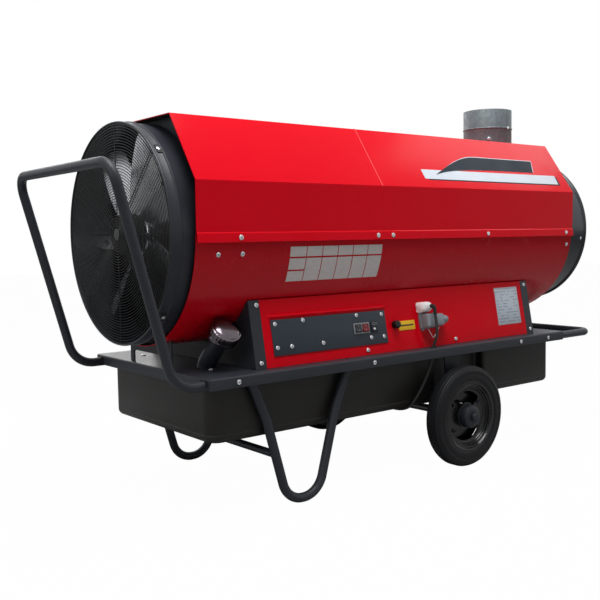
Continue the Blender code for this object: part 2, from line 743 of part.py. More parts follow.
# Hood: two lengths of folded sheet, each with a flange that laps the drum's edge
flange_face = DRUM_RADIUS + GAP + CASING_SHEET
joggle = AXIS_HEIGHT - HOOD_JOGGLE_DROP
half_hood = [
    (flange_face, AXIS_HEIGHT - HOOD_FLANGE_DROP),
    (flange_face, joggle),
    (HOOD_HALF_WIDTH, joggle + CASING_SHEET),
    (HOOD_HALF_WIDTH, AXIS_HEIGHT + HOOD_SHOULDER_RISE),
    (HOOD_ROOF_HALF_WIDTH, AXIS_HEIGHT + HOOD_ROOF_RISE),
]
hood_line = [(-y, z) for y, z in half_hood] + half_hood[::-1]
hood_points = thick(hood_line, CASING_SHEET)
hood_screw_z = AXIS_HEIGHT - (HOOD_JOGGLE_DROP + HOOD_FLANGE_DROP) / 2
hood_screw_shares = {"hood_back": (0.205, 0.966), "hood_front": (0.040, 0.498, 0.954)}
hoods = {
    "hood_back": (CASING_BACK, HOOD_SEAM - GAP / 2),
    "hood_front": (HOOD_SEAM + GAP / 2, CASING_FRONT),
}
for name, (low, high) in hoods.items():
    hood = outline(name, hood_points, low, high, ALONG_X, red_paint(f"{name}_red"))
    for k, share in enumerate(hood_screw_shares[name]):
        x = low + (high - low) * share
        for side, sign in (("near", -1), ("far", 1)):
            join(
                hood,
                rod(
                    f"{name}_screw_{k}_{side}",
                    SCREW_RADIUS,
                    -CASING_SHEET / 2,
                    SCREW_HEAD,
                    (x, sign * flange_face, hood_screw_z),
                    (-sign * math.pi / 2, 0, 0),
                    sides=8,
                ),
            )
    if name == "hood_front":
        cut(
            hood,
            rod(
                "flue_hole",
                FLUE_RADIUS + GAP,
                -OVERRUN,
                OVERRUN,
                (FLUE_X, 0, AXIS_HEIGHT + HOOD_ROOF_RISE),
                sides=32,
            ),
        )

# Inlet ring: a short duct with a rolled lip and a bead, and the end plate that holds it
INLET_FRONT = -0.6853
INLET_DEPTH = 0.105
INLET_STEP = 0.008
RING_SHEET = 0.0025
RING_STEPS = 32
LIP_RADIUS = 0.004
BEAD_PLACE = 0.023
BEAD_HALF = 0.004
BEAD_RISE = 0.003
END_PLATE_INSET = 0.030
INLET_RADIUS = DRUM_RADIUS - INLET_STEP


def duct(name, radius, front, depth, lip, bead_place, outward, material, steps):
    """A turned duct whose own z runs out of the casing, with its rolled lip at z = 0."""
    profile = [
        (radius - RING_SHEET, -lip),
        (radius - RING_SHEET, 0),
        (radius - RING_SHEET + lip / 2, lip / 2),
        (radius, 0),
        (radius + lip / 2, -lip / 2),
        (radius, -lip),
    ]
    if bead_place:
        profile += [
            (radius, -bead_place + BEAD_HALF),
            (radius + BEAD_RISE, -bead_place),
            (radius, -bead_place - BEAD_HALF),
        ]
    profile += [(radius, -depth), (radius - RING_SHEET, -depth)]
    return turned(name, profile, (front, 0, AXIS_HEIGHT), outward, material, steps=steps)


INLET_AXIS = (0, -math.pi / 2, 0)
inlet_ring = duct(
    "inlet_ring",
    INLET_RADIUS,
    INLET_FRONT + LIP_RADIUS / 2,
    INLET_DEPTH,
    LIP_RADIUS,
    BEAD_PLACE,
    INLET_AXIS,
    black_paint("inlet_ring_black"),
    RING_STEPS,
)
RING_SCREW_X = -0.6672
for k in range(4):
    angle = math.radians(45 + 90 * k)
    join(
        inlet_ring,
        rod(
            f"ring_screw_{k}",
            SCREW_RADIUS,
            INLET_RADIUS - RING_SHEET / 2,
            INLET_RADIUS + SCREW_HEAD,
            (RING_SCREW_X, 0, AXIS_HEIGHT),
            (angle, 0, 0),
            sides=8,
        ),
    )


def end_plate(name, low, hole_radius, material):
    """A sheet that fills the casing's section, inside the hood above and inside the drum below."""
    roof = [
        (HOOD_HALF_WIDTH - CASING_SHEET - GAP, joggle + CASING_SHEET * 3),
        (HOOD_HALF_WIDTH - CASING_SHEET - GAP, AXIS_HEIGHT + HOOD_SHOULDER_RISE - CASING_SHEET / 2),
        (HOOD_ROOF_HALF_WIDTH - CASING_SHEET / 2, AXIS_HEIGHT + HOOD_ROOF_RISE - CASING_SHEET - GAP),
    ]
    rim = DRUM_RADIUS - CASING_SHEET - GAP
    points = roof + [(-y, z) for y, z in roof[::-1]] + arc(rim, 180, 360, 24, AXIS_HEIGHT)
    plate = outline(name, points, low, low + CASING_SHEET, ALONG_X, material)
    hole = rod(
        f"{name}_hole",
        hole_radius + GAP,
        low - OVERRUN,
        low + CASING_SHEET + OVERRUN,
        (0, 0, AXIS_HEIGHT),
        AXIS_X,
        sides=RING_STEPS,
    )
    return cut(plate, hole)


end_plate("inlet_end_plate", CASING_BACK + END_PLATE_INSET, INLET_RADIUS, black_paint("inlet_plate_black"))

# Outlet ring, narrower than the drum, and its end plate
OUTLET_FRONT = 0.8221
OUTLET_STEP = 0.035
OUTLET_LIP = 0.007
OUTLET_SEAT = 0.0012
OUTLET_DEPTH = OUTLET_FRONT - OUTLET_LIP / 2 - CASING_FRONT + CASING_SHEET + OUTLET_SEAT
OUTLET_RADIUS = DRUM_RADIUS - OUTLET_STEP
duct(
    "outlet_ring",
    OUTLET_RADIUS,
    OUTLET_FRONT - OUTLET_LIP / 2,
    OUTLET_DEPTH,
    OUTLET_LIP,
    0,
    AXIS_X,
    black_paint("outlet_ring_black"),
    RING_STEPS,
)
end_plate(
    "outlet_end_plate",
    CASING_FRONT - CASING_SHEET,
    OUTLET_RADIUS,
    black_paint("outlet_plate_black"),
)

# Foot that carries the drum's inlet end: a plate on two posts
FOOT_X = -0.6067
FOOT_SHEET = 0.004
FOOT_HALF_SPREAD = 0.090
FOOT_POST = 0.018
FOOT_WEB = 0.018
foot_low = PLATFORM_TOP + GAP
foot_outer = FOOT_HALF_SPREAD + FOOT_POST / 2
foot_inner = FOOT_HALF_SPREAD - FOOT_POST / 2
cradle_radius = DRUM_RADIUS + GAP
foot_angle = math.degrees(math.asin(foot_outer / cradle_radius))
web_low = AXIS_HEIGHT - cradle_radius - FOOT_WEB
foot_points = (
    arc(cradle_radius, 270 + foot_angle, 270 - foot_angle, 10, AXIS_HEIGHT)
    + [(-foot_outer, foot_low), (-foot_inner, foot_low), (-foot_inner, web_low)]
    + [(foot_inner, web_low), (foot_inner, foot_low), (foot_outer, foot_low)]
)
outline("drum_foot", foot_points, FOOT_X, FOOT_X + FOOT_SHEET, ALONG_X, black_paint("foot_black"))

# Plinth ends: a saddle plate under the drum with a strip folded along each sloping side
saddle_radius = DRUM_RADIUS + GAP


def saddle_points(inset, extend):
    """The plinth's section. Its sides move in by an inset, and its foot and top pass the real ones by an extension."""
    slope = (PANEL_FOOT_Y - PANEL_TOP_Y) / PANEL_RISE
    foot, top = PANEL_FOOT_Y - inset + slope * extend, PANEL_TOP_Y - inset - slope * extend
    low, high = PANEL_FOOT_Z - extend, PANEL_TOP_Z + extend
    return [(-foot, low), (foot, low), (top, high), (-top, high)]


for name, low, inner in (
    ("plinth_end_back", PLINTH_BACK, 1),
    ("plinth_end_front", PLINTH_FRONT - PLINTH_STRIP, -1),
):
    high = low + PLINTH_STRIP
    end = outline(name, saddle_points(0, 0), low, high, ALONG_X, black_paint(f"{name}_black"))
    cavity_low = low + PLINTH_SHEET if inner > 0 else low - OVERRUN
    cavity_high = high + OVERRUN if inner > 0 else high - PLINTH_SHEET
    cut(
        end,
        outline(f"{name}_cavity", saddle_points(PLINTH_SHEET, OVERRUN), cavity_low, cavity_high, ALONG_X),
        rod(f"{name}_saddle", saddle_radius, low - OVERRUN, high + OVERRUN, (0, 0, AXIS_HEIGHT), AXIS_X, sides=96),
    )

# Frames that lie in the sloping faces of the two side panels: own x along the panel, y up its slope, z outwards
near_face = bpy.data.objects.new("near_panel_face", None)
far_face = bpy.data.objects.new("far_panel_face", None)
for face, sign in ((near_face, -1), (far_face, 1)):
    parts.objects.link(face)
    face.location = (0, sign * PANEL_FOOT_Y, PANEL_FOOT_Z)
    face.rotation_euler = (PANEL_TILT, 0, 0 if sign < 0 else math.pi)

# Control plate sizes, which the near panel's window follows
PLATE_LEFT = -0.4205
PLATE_LENGTH = 0.3570
PLATE_LOW = 0.0250
PLATE_HEIGHT = 0.0825
PLATE_SHEET = 0.002
PLATE_OVERLAP = 0.012
PLATE_RIGHT = PLATE_LEFT + PLATE_LENGTH
PLATE_HIGH = PLATE_LOW + PLATE_HEIGHT
PLATE_FACE = GAP + PLATE_SHEET

# Power plug sizes, which the near panel's inlet follows
PLUG_X = 0.0700
PLUG_Y = 0.1050
PLUG_LENGTH = 0.048
PLUG_HEIGHT = 0.028
PLUG_DEPTH = 0.026
NOSE_LENGTH = 0.026
NOSE_HEIGHT = 0.016
NOSE_DEPTH = 0.012

# Side panels
PANEL_FLANGE = 0.014
LIP_OUT = 0.005
LIP_HEIGHT = 0.004
LIP_ABOVE = 0.0085
LIP_LEAD = 0.005
CAP_BOSS_X = -0.033
CAP_BOSS_Y = 0.0675
CAP_BOSS_RADIUS = 0.006
CAP_BOSS_HEIGHT = 0.006
panel_screw_shares = {"left": (0.327, 0.077), "right": (0.670, 0.077)}
panel_low = PLINTH_BACK + PLINTH_STRIP + GAP
panel_high = PLINTH_FRONT - PLINTH_STRIP - GAP
for side, face, sign in (("near", near_face, 1), ("far", far_face, -1)):
    low, high = sorted((sign * panel_low, sign * panel_high))
    panel = box(
        f"side_panel_{side}",
        (low, 0, -PLINTH_SHEET),
        (high, PANEL_LENGTH, 0),
        red_paint(f"panel_{side}_red"),
        parent=face,
    )
    inner_y, outer_y = sorted((-sign * (PANEL_FOOT_Y - PANEL_FLANGE), -sign * (PANEL_FOOT_Y - PLINTH_SHEET / 2)))
    foot = box(
        f"panel_foot_{side}",
        (panel_low, inner_y, PANEL_FOOT_Z),
        (panel_high, outer_y, PANEL_FOOT_Z + PLINTH_SHEET),
    )
    join(panel, foot)
    cut(
        panel,
        box(
            f"panel_foot_trim_{side}",
            (panel_low - OVERRUN, -sign * PANEL_FOOT_Y - OVERRUN * 2, PANEL_FOOT_Z - OVERRUN),
            (panel_high + OVERRUN, -sign * PANEL_FOOT_Y + OVERRUN * 2, PANEL_FOOT_Z),
        ),
    )
    for use, (along, up) in panel_screw_shares.items():
        screw_centre = (sign * (panel_low + (panel_high - panel_low) * along), PANEL_LENGTH * up, 0)
        join(
            panel,
            rod(f"panel_screw_{use}_{side}", SCREW_RADIUS, -PLINTH_SHEET / 2, SCREW_HEAD, screw_centre, parent=face, sides=8),
        )
    if side == "far":
        continue
    join(
        panel,
        box(
            "plate_lip",
            (PLATE_LEFT - LIP_LEAD, PLATE_HIGH + LIP_ABOVE - LIP_HEIGHT / 2, -PLINTH_SHEET / 2),
            (PLATE_RIGHT + LIP_LEAD, PLATE_HIGH + LIP_ABOVE + LIP_HEIGHT / 2, LIP_OUT),
            parent=face,
        ),
        rod(
            "cap_boss",
            CAP_BOSS_RADIUS,
            -PLINTH_SHEET / 2,
            CAP_BOSS_HEIGHT,
            (CAP_BOSS_X, CAP_BOSS_Y, 0),
            parent=face,
            sides=16,
        ),
    )
    cut(
        panel,
        box(
            "plate_window",
            (PLATE_LEFT + PLATE_OVERLAP, PLATE_LOW + PLATE_OVERLAP, -PLINTH_SHEET - OVERRUN),
            (PLATE_RIGHT - PLATE_OVERLAP, PLATE_HIGH - PLATE_OVERLAP, OVERRUN),
            parent=face,
        ),
        box(
            "plug_inlet",
            (PLUG_X - NOSE_LENGTH / 2 - GAP, PLUG_Y - NOSE_HEIGHT / 2 - GAP, -PLINTH_SHEET - OVERRUN),
            (PLUG_X + NOSE_LENGTH / 2 + GAP, PLUG_Y + NOSE_HEIGHT / 2 + GAP, OVERRUN),
            parent=face,
        ),
    )

# Control plate with its screws and the openings behind its switches
ROCKER_LEFT = -0.1745
BEZEL_LENGTH = 0.0505
BEZEL_HEIGHT = 0.0265
BEZEL_LOW = 0.0545
BEZEL_FRAME = 0.0027
BEZEL_DEPTH = 0.003
RESET_LEFT = -0.1175
RESET_LENGTH = 0.0220
plate_screw_shares = {
    "top_left": (0.030, 0.88),
    "top_mid": (0.259, 0.92),
    "top_right": (0.729, 0.915),
    "top_end": (0.963, 0.88),
    "low_left": (0.030, 0.22),
    "low_second": (0.144, 0.22),
    "low_mid": (0.408, 0.215),
    "low_right": (0.842, 0.207),
    "low_end": (0.963, 0.20),
}
plate = box(
    "control_plate",
    (PLATE_LEFT, PLATE_LOW, GAP),
    (PLATE_RIGHT, PLATE_HIGH, PLATE_FACE),
    black_paint("control_plate_black"),
    parent=near_face,
)
for use, (along, up) in plate_screw_shares.items():
    screw_centre = (PLATE_LEFT + PLATE_LENGTH * along, PLATE_LOW + PLATE_HEIGHT * up, PLATE_FACE)
    join(
        plate,
        rod(f"plate_screw_{use}", SCREW_RADIUS, -PLATE_SHEET / 2, SCREW_HEAD, screw_centre, parent=near_face, sides=8),
    )

# Rockers: two in one light bezel. Each turns on an axis along the panel, a little behind the bezel's face
cell = (BEZEL_LENGTH - BEZEL_FRAME * 3) / 2
cell_height = BEZEL_HEIGHT - BEZEL_FRAME * 2
BEZEL_BACK = PLATE_FACE + GAP
BEZEL_FACE = BEZEL_BACK + BEZEL_DEPTH
bezel = box(
    "rocker_bezel",
    (ROCKER_LEFT, BEZEL_LOW, BEZEL_BACK),
    (ROCKER_LEFT + BEZEL_LENGTH, BEZEL_LOW + BEZEL_HEIGHT, BEZEL_FACE),
    paint("bezel_grey", (0.45, 0.46, 0.48), 0.4),
    parent=near_face,
)
ROCKER_GAP = 0.0006
ROCKER_TILT = math.radians(9)
ROCKER_WEDGE = 0.0016
ROCKER_BACK = 0.0045
ROCKER_PIVOT_IN = 0.0005
rocker_y = BEZEL_LOW + BEZEL_HEIGHT / 2
rocker_z = BEZEL_FACE - ROCKER_PIVOT_IN
rocker_reach = cell_height / 2 - ROCKER_GAP
rocker_side = math.sqrt(rocker_reach**2 - ROCKER_BACK**2)
rocker_points = [
    (-rocker_side * 0.7, -ROCKER_BACK),
    (rocker_side * 0.7, -ROCKER_BACK),
    (rocker_side, 0),
    (rocker_side, ROCKER_BACK * 0.75),
    (0, ROCKER_BACK * 0.75 - ROCKER_WEDGE),
    (-rocker_side, ROCKER_BACK * 0.75),
    (-rocker_side, 0),
]
for k, (name, colour) in enumerate((("heat_rocker", (0.02, 0.022, 0.026)), ("fan_rocker", (0.30, 0.05, 0.06)))):
    left = ROCKER_LEFT + BEZEL_FRAME + k * (cell + BEZEL_FRAME)
    opening = box(
        f"{name}_opening",
        (left, BEZEL_LOW + BEZEL_FRAME, -PLINTH_SHEET - OVERRUN),
        (left + cell, BEZEL_LOW + BEZEL_FRAME + cell_height, BEZEL_FACE + OVERRUN),
        parent=near_face,
    )
    cut(bezel, opening)
    cut(plate, opening)
    outline(
        name,
        rocker_points,
        -cell / 2 + ROCKER_GAP,
        cell / 2 - ROCKER_GAP,
        (math.pi / 2, ROCKER_TILT, math.pi / 2),
        paint(f"{name}_plastic", colour, 0.35),
        near_face,
        (left + cell / 2, rocker_y, rocker_z),
    )

# Reset button in its black bezel
RESET_BUTTON_RADIUS = 0.0036
RESET_BUTTON_OUT = 0.0035
RESET_BUTTON_IN = 0.006
RESET_OFF_X = -0.0030
RESET_OFF_Y = -0.0050
reset_x = RESET_LEFT + RESET_LENGTH / 2 + RESET_OFF_X
reset_y = BEZEL_LOW + BEZEL_HEIGHT / 2 + RESET_OFF_Y
reset_bezel = box(
    "reset_bezel",
    (RESET_LEFT, BEZEL_LOW, BEZEL_BACK),
    (RESET_LEFT + RESET_LENGTH, BEZEL_LOW + BEZEL_HEIGHT, BEZEL_FACE),
    paint("reset_bezel_black", (0.03, 0.035, 0.04), 0.35),
    parent=near_face,
    bevel=0,
)
reset_hole = rod(
    "reset_hole",
    RESET_BUTTON_RADIUS + GAP,
    -RESET_BUTTON_IN * 2,
    OVERRUN,
    (reset_x, reset_y, BEZEL_FACE),
    parent=near_face,
    sides=16,
)
cut(reset_bezel, reset_hole)
cut(plate, reset_hole)
rod(
    "reset_button",
    RESET_BUTTON_RADIUS,
    -RESET_BUTTON_IN,
    RESET_BUTTON_OUT,
    (reset_x, reset_y, BEZEL_FACE),
    material=paint("reset_button_silver", (0.6, 0.6, 0.62), 0.3, 0.8),
    parent=near_face,
    sides=16,
)

# Screw cap over the overheat reset, and the yellow marker beside it
LIMIT_CAP_RADIUS = 0.0100
LIMIT_CAP_HEIGHT = 0.016
LIMIT_CAP_TOP = 0.004
turned(
    "limit_cap",
    [
        (0, LIMIT_CAP_HEIGHT),
        (LIMIT_CAP_RADIUS * 0.8, LIMIT_CAP_HEIGHT),
        (LIMIT_CAP_RADIUS, LIMIT_CAP_HEIGHT - LIMIT_CAP_TOP / 2),
        (LIMIT_CAP_RADIUS, GAP),
        (CAP_BOSS_RADIUS + GAP, GAP),
        (CAP_BOSS_RADIUS + GAP, CAP_BOSS_HEIGHT + GAP),
        (0, CAP_BOSS_HEIGHT + GAP),
    ],
    (CAP_BOSS_X, CAP_BOSS_Y, 0),
    material=paint("limit_cap_black", (0.01, 0.01, 0.012), 0.3),
    parent=near_face,
    steps=20,
)
MARKER_LENGTH = 0.058
MARKER_HEIGHT = 0.024
MARKER_SHEET = 0.001
MARKER_STEP = 0.0045
marker_left = CAP_BOSS_X + LIMIT_CAP_RADIUS + MARKER_STEP
box(
    "marker_plate",
    (marker_left, CAP_BOSS_Y - MARKER_HEIGHT / 2 - MARKER_STEP, GAP),
    (marker_left + MARKER_LENGTH, CAP_BOSS_Y + MARKER_HEIGHT / 2 - MARKER_STEP, GAP + MARKER_SHEET),
    paint("marker_yellow", (0.85, 0.55, 0.03), 0.45),
    parent=near_face,
)

# Grey connector: a base on the panel, and a plug that draws off along the panel, with a wire bail below
BASE_LEFT = 0.0480
BASE_LENGTH = 0.0440
BASE_LOW = 0.0480
BASE_HEIGHT = 0.0400
BASE_DEPTH = 0.0300
CONNECTOR_EDGE = 0.004
CONNECTOR_PLUG_LENGTH = 0.034
CONNECTOR_CONE_LENGTH = 0.020
CONNECTOR_PLUG_INSET = 0.0015
CONNECTOR_END_RADIUS = 0.0085
CONNECTOR_END_LENGTH = 0.012
base_right = BASE_LEFT + BASE_LENGTH
base_mid_y = BASE_LOW + BASE_HEIGHT / 2
base_mid_z = GAP + BASE_DEPTH / 2
box(
    "connector_base",
    (BASE_LEFT, BASE_LOW, GAP),
    (base_right, BASE_LOW + BASE_HEIGHT, GAP + BASE_DEPTH),
    paint("connector_base_grey", (0.42, 0.45, 0.48), 0.4, 0.3),
    parent=near_face,
    bevel=CONNECTOR_EDGE,
)
plug_radius = BASE_DEPTH / 2 - CONNECTOR_PLUG_INSET
turned(
    "connector_plug",
    [
        (0, CONNECTOR_PLUG_LENGTH + CONNECTOR_CONE_LENGTH + CONNECTOR_END_LENGTH),
        (CONNECTOR_END_RADIUS, CONNECTOR_PLUG_LENGTH + CONNECTOR_CONE_LENGTH + CONNECTOR_END_LENGTH),
        (CONNECTOR_END_RADIUS, CONNECTOR_PLUG_LENGTH + CONNECTOR_CONE_LENGTH),
        (plug_radius, CONNECTOR_PLUG_LENGTH),
        (plug_radius, GAP),
        (0, GAP),
    ],
    (base_right, base_mid_y, base_mid_z),
    AXIS_X,
    paint("connector_plug_grey", (0.40, 0.43, 0.46), 0.4, 0.3),
    near_face,
    steps=20,
)
BAIL_RADIUS = 0.0009
BAIL_DROP = 0.026
BAIL_LEFT_IN = 0.020
BAIL_TIP_IN = 0.006
BAIL_OVERHANG = 0.022
BAIL_BEND = 0.004
bail_axis = bpy.data.objects.new("bail_axis", None)
parts.objects.link(bail_axis)
bail_axis.parent = near_face
bail_axis.location = (base_right, BASE_LOW - GAP - BAIL_RADIUS, base_mid_z)
bail_path = [
    (-BAIL_LEFT_IN, 0, 0),
    (-BAIL_TIP_IN, -BAIL_DROP, 0),
    (BAIL_OVERHANG, BAIL_RADIUS, 0),
]
pipe(
    "connector_bail",
    bent(bail_path, [BAIL_BEND], 3),
    BAIL_RADIUS,
    paint("bail_steel", (0.4, 0.4, 0.42), 0.35, 1.0),
    bail_axis,
    2,
)

# White power plug with its black boot, whose lower end the cord leaves
BOOT_RADIUS = 0.0055
BOOT_X = 0.0130
BOOT_OUT = 0.0105
BOOT_DROP = 0.024
BOOT_BEND = 0.006
PLUG_EDGE = 0.005
plug_low, plug_high = PLUG_Y - PLUG_HEIGHT / 2, PLUG_Y + PLUG_HEIGHT / 2
plug_face = GAP + PLUG_DEPTH
power_plug = box(
    "power_plug",
    (PLUG_X - PLUG_LENGTH / 2, plug_low, GAP),
    (PLUG_X + PLUG_LENGTH / 2, plug_high, plug_face),
    paint("plug_white", (0.85, 0.85, 0.84), 0.35),
    parent=near_face,
    bevel=PLUG_EDGE,
    segments=2,
)
join(
    power_plug,
    box(
        "plug_nose",
        (PLUG_X - NOSE_LENGTH / 2, PLUG_Y - NOSE_HEIGHT / 2, -NOSE_DEPTH),
        (PLUG_X + NOSE_LENGTH / 2, PLUG_Y + NOSE_HEIGHT / 2, PLUG_DEPTH / 2),
        parent=near_face,
    ),
)
boot_x = PLUG_X + BOOT_X
boot_start = (boot_x, PLUG_Y, plug_face + GAP)
boot_knee = (boot_x, PLUG_Y, plug_face + GAP + BOOT_OUT)
boot_end = (boot_x, PLUG_Y - BOOT_DROP, plug_face + GAP + BOOT_OUT)
pipe(
    "power_plug_boot",
    bent([boot_start, boot_knee, boot_end], [BOOT_BEND], 4),
    BOOT_RADIUS,
    paint("boot_black", (0.02, 0.02, 0.022), 0.5),
    near_face,
    2,
)

# Cord: it hangs from the boot, passes the platform's hole, tucks under the tank and over the axle, and lies coiled behind
COIL_X = 0.250
COIL_Y = 0.475
COIL_RADIUS = 0.047
COIL_TURNS = 4.25
COIL_SPACE = 0.0009
COIL_POINTS_A_TURN = 24
CORD_FLOOR_GAP = 0.0006
CORD_STEP = 0.024
UNDER_TANK_GAP = 0.0020
bpy.context.view_layer.update()
cord_start = near_face.matrix_world @ (Vector(boot_end) - Vector((0, GAP, 0)))
down = near_face.matrix_world.to_3x3() @ Vector((0, -1, 0))
coil_pitch = CORD_RADIUS * 2 + COIL_SPACE
coil_low = CORD_RADIUS + CORD_FLOOR_GAP


def coil_point(turn):
    """A point of the coil: it winds in on the floor, climbs a layer in half a turn, and winds out on top."""
    half = COIL_TURNS / 2
    inward = min(turn, COIL_TURNS - turn)
    climb = min(max((turn - half + 0.25) / 0.5, 0), 1)
    eased = climb * climb * (3 - 2 * climb)
    radius = COIL_RADIUS - coil_pitch * inward
    angle = TURN * turn
    return Vector(
        (COIL_X + radius * math.cos(angle), COIL_Y + radius * math.sin(angle), coil_low + coil_pitch * eased)
    )


coil_count = round(COIL_POINTS_A_TURN * COIL_TURNS)
coil_path = [coil_point(COIL_TURNS * k / coil_count) for k in range(coil_count + 1)]
least = min(
    (a - b).length - CORD_RADIUS * 2
    for i, a in enumerate(coil_path)
    for b in coil_path[i + COIL_POINTS_A_TURN // 3 :]
)
print("least gap of the coil to itself, mm:", round(least * 1000, 2))
coil_way = (coil_path[1] - coil_path[0]).normalized()
coil_end_way = (coil_path[-1] - coil_path[-2]).normalized()
under_z = TANK_BOTTOM - CORD_RADIUS - UNDER_TANK_GAP
over_axle_z = WHEEL_RADIUS + AXLE_RADIUS + CORD_RADIUS + UNDER_TANK_GAP / 4
cord_route = [
    cord_start,
    cord_start + down * 0.020,
    cord_start + down * 0.040 + Vector((-0.0015, 0, 0)),
    Vector((0.0795, -0.2695, 0.348)),
    Vector((CORD_HOLE_X, -CORD_HOLE_Y, PLATFORM_TOP + 0.006)),
    Vector((CORD_HOLE_X - 0.001, -CORD_HOLE_Y + 0.001, PLATFORM_UNDER - 0.006)),
    Vector((0.0700, -0.2600, 0.283)),
    Vector((0.0480, -0.2540, 0.230)),
    Vector((0.0245, -0.2460, 0.190)),
    Vector((0.0160, -0.2330, 0.1705)),
    Vector((0.0100, -0.2080, under_z - 0.0015)),
    Vector((0.0100, -0.1650, under_z - 0.0030)),
    Vector((0.0400, -0.1050, 0.1520)),
    Vector((0.0960, -0.0500, 0.1475)),
    Vector((WHEEL_X, 0.0150, over_axle_z)),
    Vector((0.2250, 0.0700, 0.1410)),
    Vector((0.2780, 0.1400, 0.1170)),
    Vector((0.3160, 0.2250, 0.0790)),
    Vector((0.3270, 0.3050, 0.0420)),
    Vector((0.3200, 0.3650, 0.0165)),
    Vector((0.3060, 0.4150, 0.0062)),
    coil_path[0] - coil_way * 0.025 + Vector((0.0008, 0, 0.0002)),
    coil_path[0] - coil_way * GAP,
]


def flowing(route, step):
    """A smooth line through the route's points, read at steps of about one length."""
    line = []
    for i in range(len(route) - 1):
        a, b = route[i], route[i + 1]
        before = route[i - 1] if i else a - (b - a)
        after = route[i + 2] if i + 2 < len(route) else b + (b - a)
        length = (b - a).length
        ta = (b - before) / ((b - before).length or 1) * length
        tb = (after - a) / ((after - a).length or 1) * length
        count = max(1, round(length / step))
        for k in range(count):
            t = k / count
            line.append(
                a * (2 * t**3 - 3 * t**2 + 1) + ta * (t**3 - 2 * t**2 + t) + b * (3 * t**2 - 2 * t**3) + tb * (t**3 - t**2)
            )
    return line + [route[-1]]


pipe("cord_drop", flowing(cord_route, CORD_STEP), CORD_RADIUS, paint("cord_black", (0.02, 0.02, 0.021), 0.5), resolution=1)
TAIL_LENGTH = 0.060
tail = [coil_path[-1] + coil_end_way * TAIL_LENGTH * share for share in (0.34, 0.67, 1)]
for point, fall_share in zip(tail, (0.15, 0.6, 1)):
    point.z = coil_path[-1].z + (coil_low + 0.008 - coil_path[-1].z) * fall_share
pipe("cord_coil", coil_path + tail, CORD_RADIUS, paint("coil_black", (0.02, 0.02, 0.021), 0.5), resolution=1)

# Mains plug on the cord's end, lying on the floor
MAINS_LENGTH = 0.045
MAINS_RADIUS = 0.0165
MAINS_NECK = 0.010
MAINS_NECK_RADIUS = 0.0065
PIN_LENGTH = 0.019
PIN_RADIUS = 0.0024
PIN_SPACE = 0.0095
mains_axis = bpy.data.objects.new("mains_plug_axis", None)
parts.objects.link(mains_axis)
heading = (tail[-1] - tail[-2]).normalized()
heading.z = 0
heading.normalize()
mains_axis.location = tail[-1] + heading * GAP * 2
mains_axis.rotation_euler = (0, 0, math.atan2(heading.y, heading.x))
mains = turned(
    "mains_plug",
    [
        (0, MAINS_NECK + MAINS_LENGTH),
        (MAINS_RADIUS, MAINS_NECK + MAINS_LENGTH),
        (MAINS_RADIUS, MAINS_NECK + MAINS_LENGTH / 2),
        (MAINS_NECK_RADIUS * 1.2, MAINS_NECK),
        (MAINS_NECK_RADIUS, 0),
        (0, 0),
    ],
    (0, 0, MAINS_RADIUS + GAP - mains_axis.location.z),
    AXIS_X,
    paint("mains_plug_black", (0.02, 0.02, 0.022), 0.45),
    mains_axis,
    steps=20,
)
for side, sign in (("left", -1), ("right", 1)):
    join(
        mains,
        rod(
            f"mains_pin_{side}",
            PIN_RADIUS,
            MAINS_NECK + MAINS_LENGTH - OVERRUN,
            MAINS_NECK + MAINS_LENGTH + PIN_LENGTH,
            (0, sign * PIN_SPACE, MAINS_RADIUS + GAP - mains_axis.location.z),
            AXIS_X,
            parent=mains_axis,
            sides=8,
        ),
    )

# Flue stub: a galvanised tube with a raised bead, through the hood
FLUE_WALL = 0.0015
FLUE_BEAD_DROP = 0.068
FLUE_BEAD_HALF = 0.003
FLUE_BEAD_RISE = 0.002
FLUE_FOOT = AXIS_HEIGHT + HOOD_ROOF_RISE - CASING_SHEET
turned(
    "flue_stub",
    [
        (FLUE_RADIUS, FLUE_TOP),
        (FLUE_RADIUS, FLUE_TOP - FLUE_BEAD_DROP + FLUE_BEAD_HALF),
        (FLUE_RADIUS + FLUE_BEAD_RISE, FLUE_TOP - FLUE_BEAD_DROP),
        (FLUE_RADIUS, FLUE_TOP - FLUE_BEAD_DROP - FLUE_BEAD_HALF),
        (FLUE_RADIUS, FLUE_FOOT),
        (FLUE_RADIUS - FLUE_WALL, FLUE_FOOT),
        (FLUE_RADIUS - FLUE_WALL, FLUE_TOP),
    ],
    (FLUE_X, 0, 0),
    material=paint("flue_galvanised", (0.33, 0.33, 0.34), 0.45, 0.8),
    steps=32,
)

# Combustion chamber, closed at its outlet end, with a round port for the burner
CHAMBER_RADIUS = 0.1500
CHAMBER_BACK = -0.060
CHAMBER_FRONT = 0.600
CHAMBER_WALL = 0.003
BURNER_PORT_RADIUS = 0.050
CROSSOVER_RADIUS = 0.045
CROSSOVER_X = 0.500
chamber = turned(
    "combustion_chamber",
    [
        (0, CHAMBER_FRONT),
        (CHAMBER_RADIUS, CHAMBER_FRONT),
        (CHAMBER_RADIUS, CHAMBER_BACK),
        (BURNER_PORT_RADIUS, CHAMBER_BACK),
        (BURNER_PORT_RADIUS, CHAMBER_BACK + CHAMBER_WALL),
        (CHAMBER_RADIUS - CHAMBER_WALL, CHAMBER_BACK + CHAMBER_WALL),
        (CHAMBER_RADIUS - CHAMBER_WALL, CHAMBER_FRONT - CHAMBER_WALL),
        (0, CHAMBER_FRONT - CHAMBER_WALL),
    ],
    (0, 0, AXIS_HEIGHT),
    AXIS_X,
    paint("chamber_steel", (0.30, 0.29, 0.28), 0.5, 0.9),
    steps=24,
)
